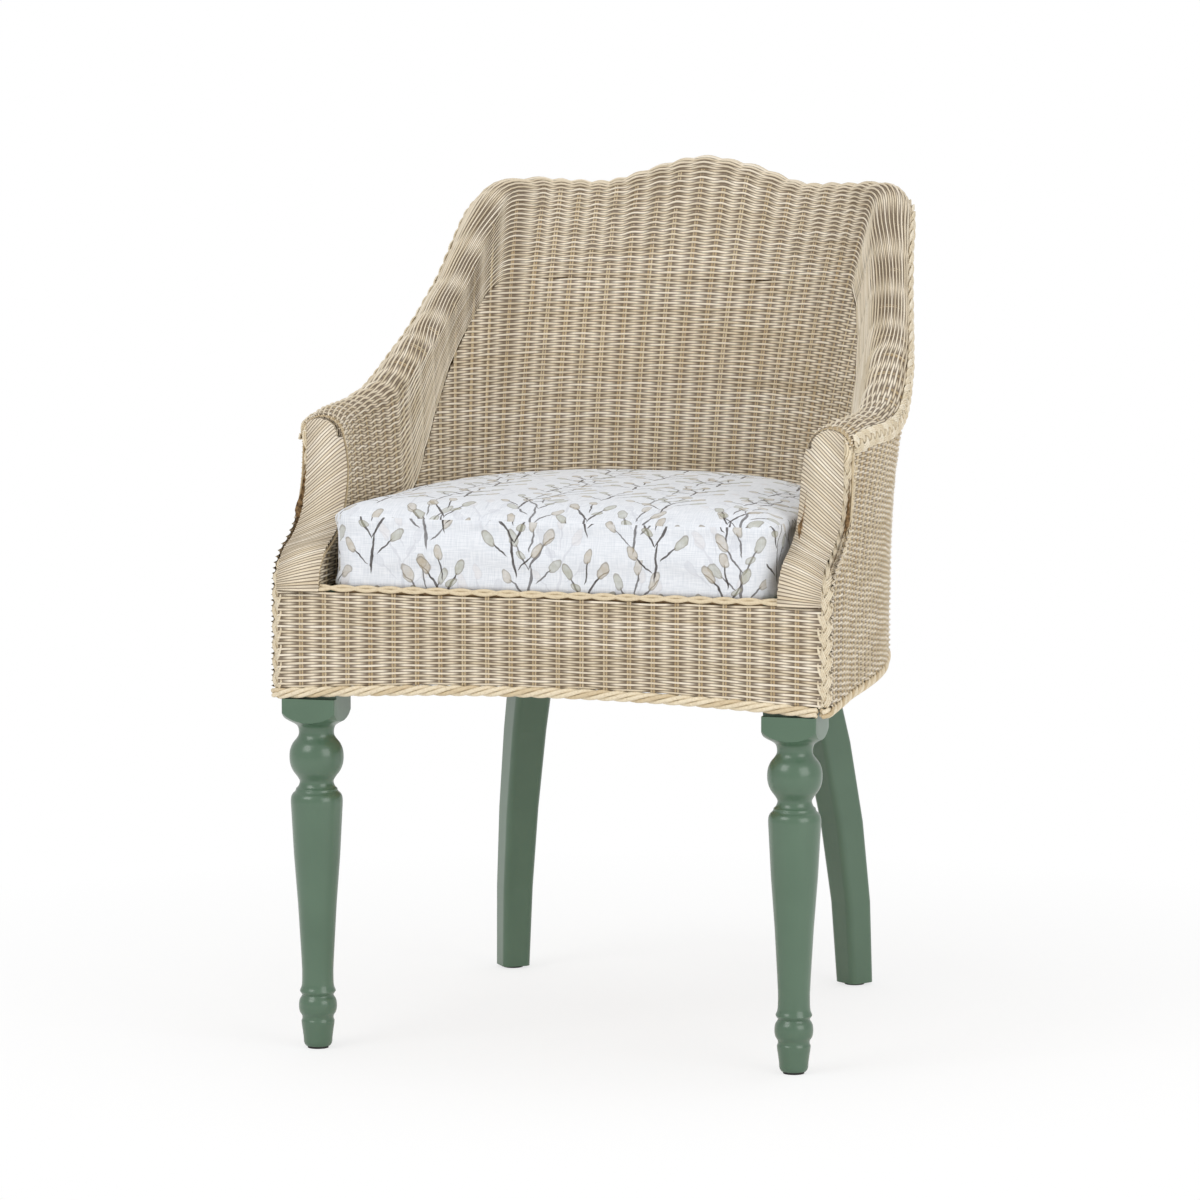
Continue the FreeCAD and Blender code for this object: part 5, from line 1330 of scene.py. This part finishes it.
def soft_box(name, place, size, power):
    """Square area light that faces the chair."""
    data = bpy.data.lights.new(name, "AREA")
    data.size, data.energy = size, power
    piece = bpy.data.objects.new(name, data)
    piece.location = place
    piece.rotation_euler = (Vector(place) - LIGHT_AIM).to_track_quat("Z", "Y").to_euler()
    bpy.context.scene.collection.objects.link(piece)


def pale_floor():
    """Matt white floor: shows the shadow near the chair, plain white farther off, clear from below."""
    made, tree = material("pale_floor")
    surface(made, Base_Color=linear("#FBFBFB"), Roughness=0.8)
    lit = tree.nodes["Principled BSDF"].outputs[0]
    reach = node(tree, "VectorMath", node(tree, "TexCoord", out="Object"), operation="LENGTH", out="Value")
    away = node(tree, "MapRange", reach, SHADOW_REACH, WHITE_REACH, FLOOR_GLOW, 1.0)
    seen = node(tree, "LightPath", out="Is Camera Ray")
    share = node(tree, "Math", away, seen, operation="MULTIPLY")
    blend = node(tree, "MixShader", share, lit, node(tree, "Emission", Strength=1.0))
    below = node(tree, "NewGeometry", out="Backfacing")
    shown = node(tree, "MixShader", below, blend, node(tree, "BsdfTransparent"))
    tree.links.new(shown, tree.nodes["Material Output"].inputs["Surface"])
    return made


def studio():
    """Soft lights, a white world that glows less than it looks, and the floor."""
    for name, place, size, power in LIGHTS:
        soft_box(name, place, size, power)
    world = bpy.data.worlds.new("studio")
    world.use_nodes = True
    tree = world.node_tree
    shader = tree.nodes["Background"]
    shader.inputs["Color"].default_value = linear("#FFFFFF")
    direct = node(tree, "Math", node(tree, "LightPath", out="Is Camera Ray"),
                  node(tree, "LightPath", out="Is Transmission Ray"), operation="MAXIMUM")
    fill(tree, shader.inputs["Strength"], node(tree, "MapRange", direct, 0.0, 1.0, WORLD_GLOW, 1.0))
    bpy.context.scene.world = world
    bpy.ops.mesh.primitive_plane_add(size=FLOOR_SIZE)
    floor = bpy.context.object
    floor.name = "studio_floor"
    finish(floor, pale_floor())
    bpy.context.scene.view_settings.view_transform = "Standard"


bpy.ops.object.select_all(action="DESELECT")
dress_frame()
seat_wall()
outer_wall()
apron()
for side, suffix in ((-1, "_left"), (1, "_right")):
    arm_front(side, suffix)
    corner_plait(side, suffix)
    front_leg(side, suffix)
rolled_edge_plait()
bottom_borders()
apron_top()
cushion()
camera()
studio()
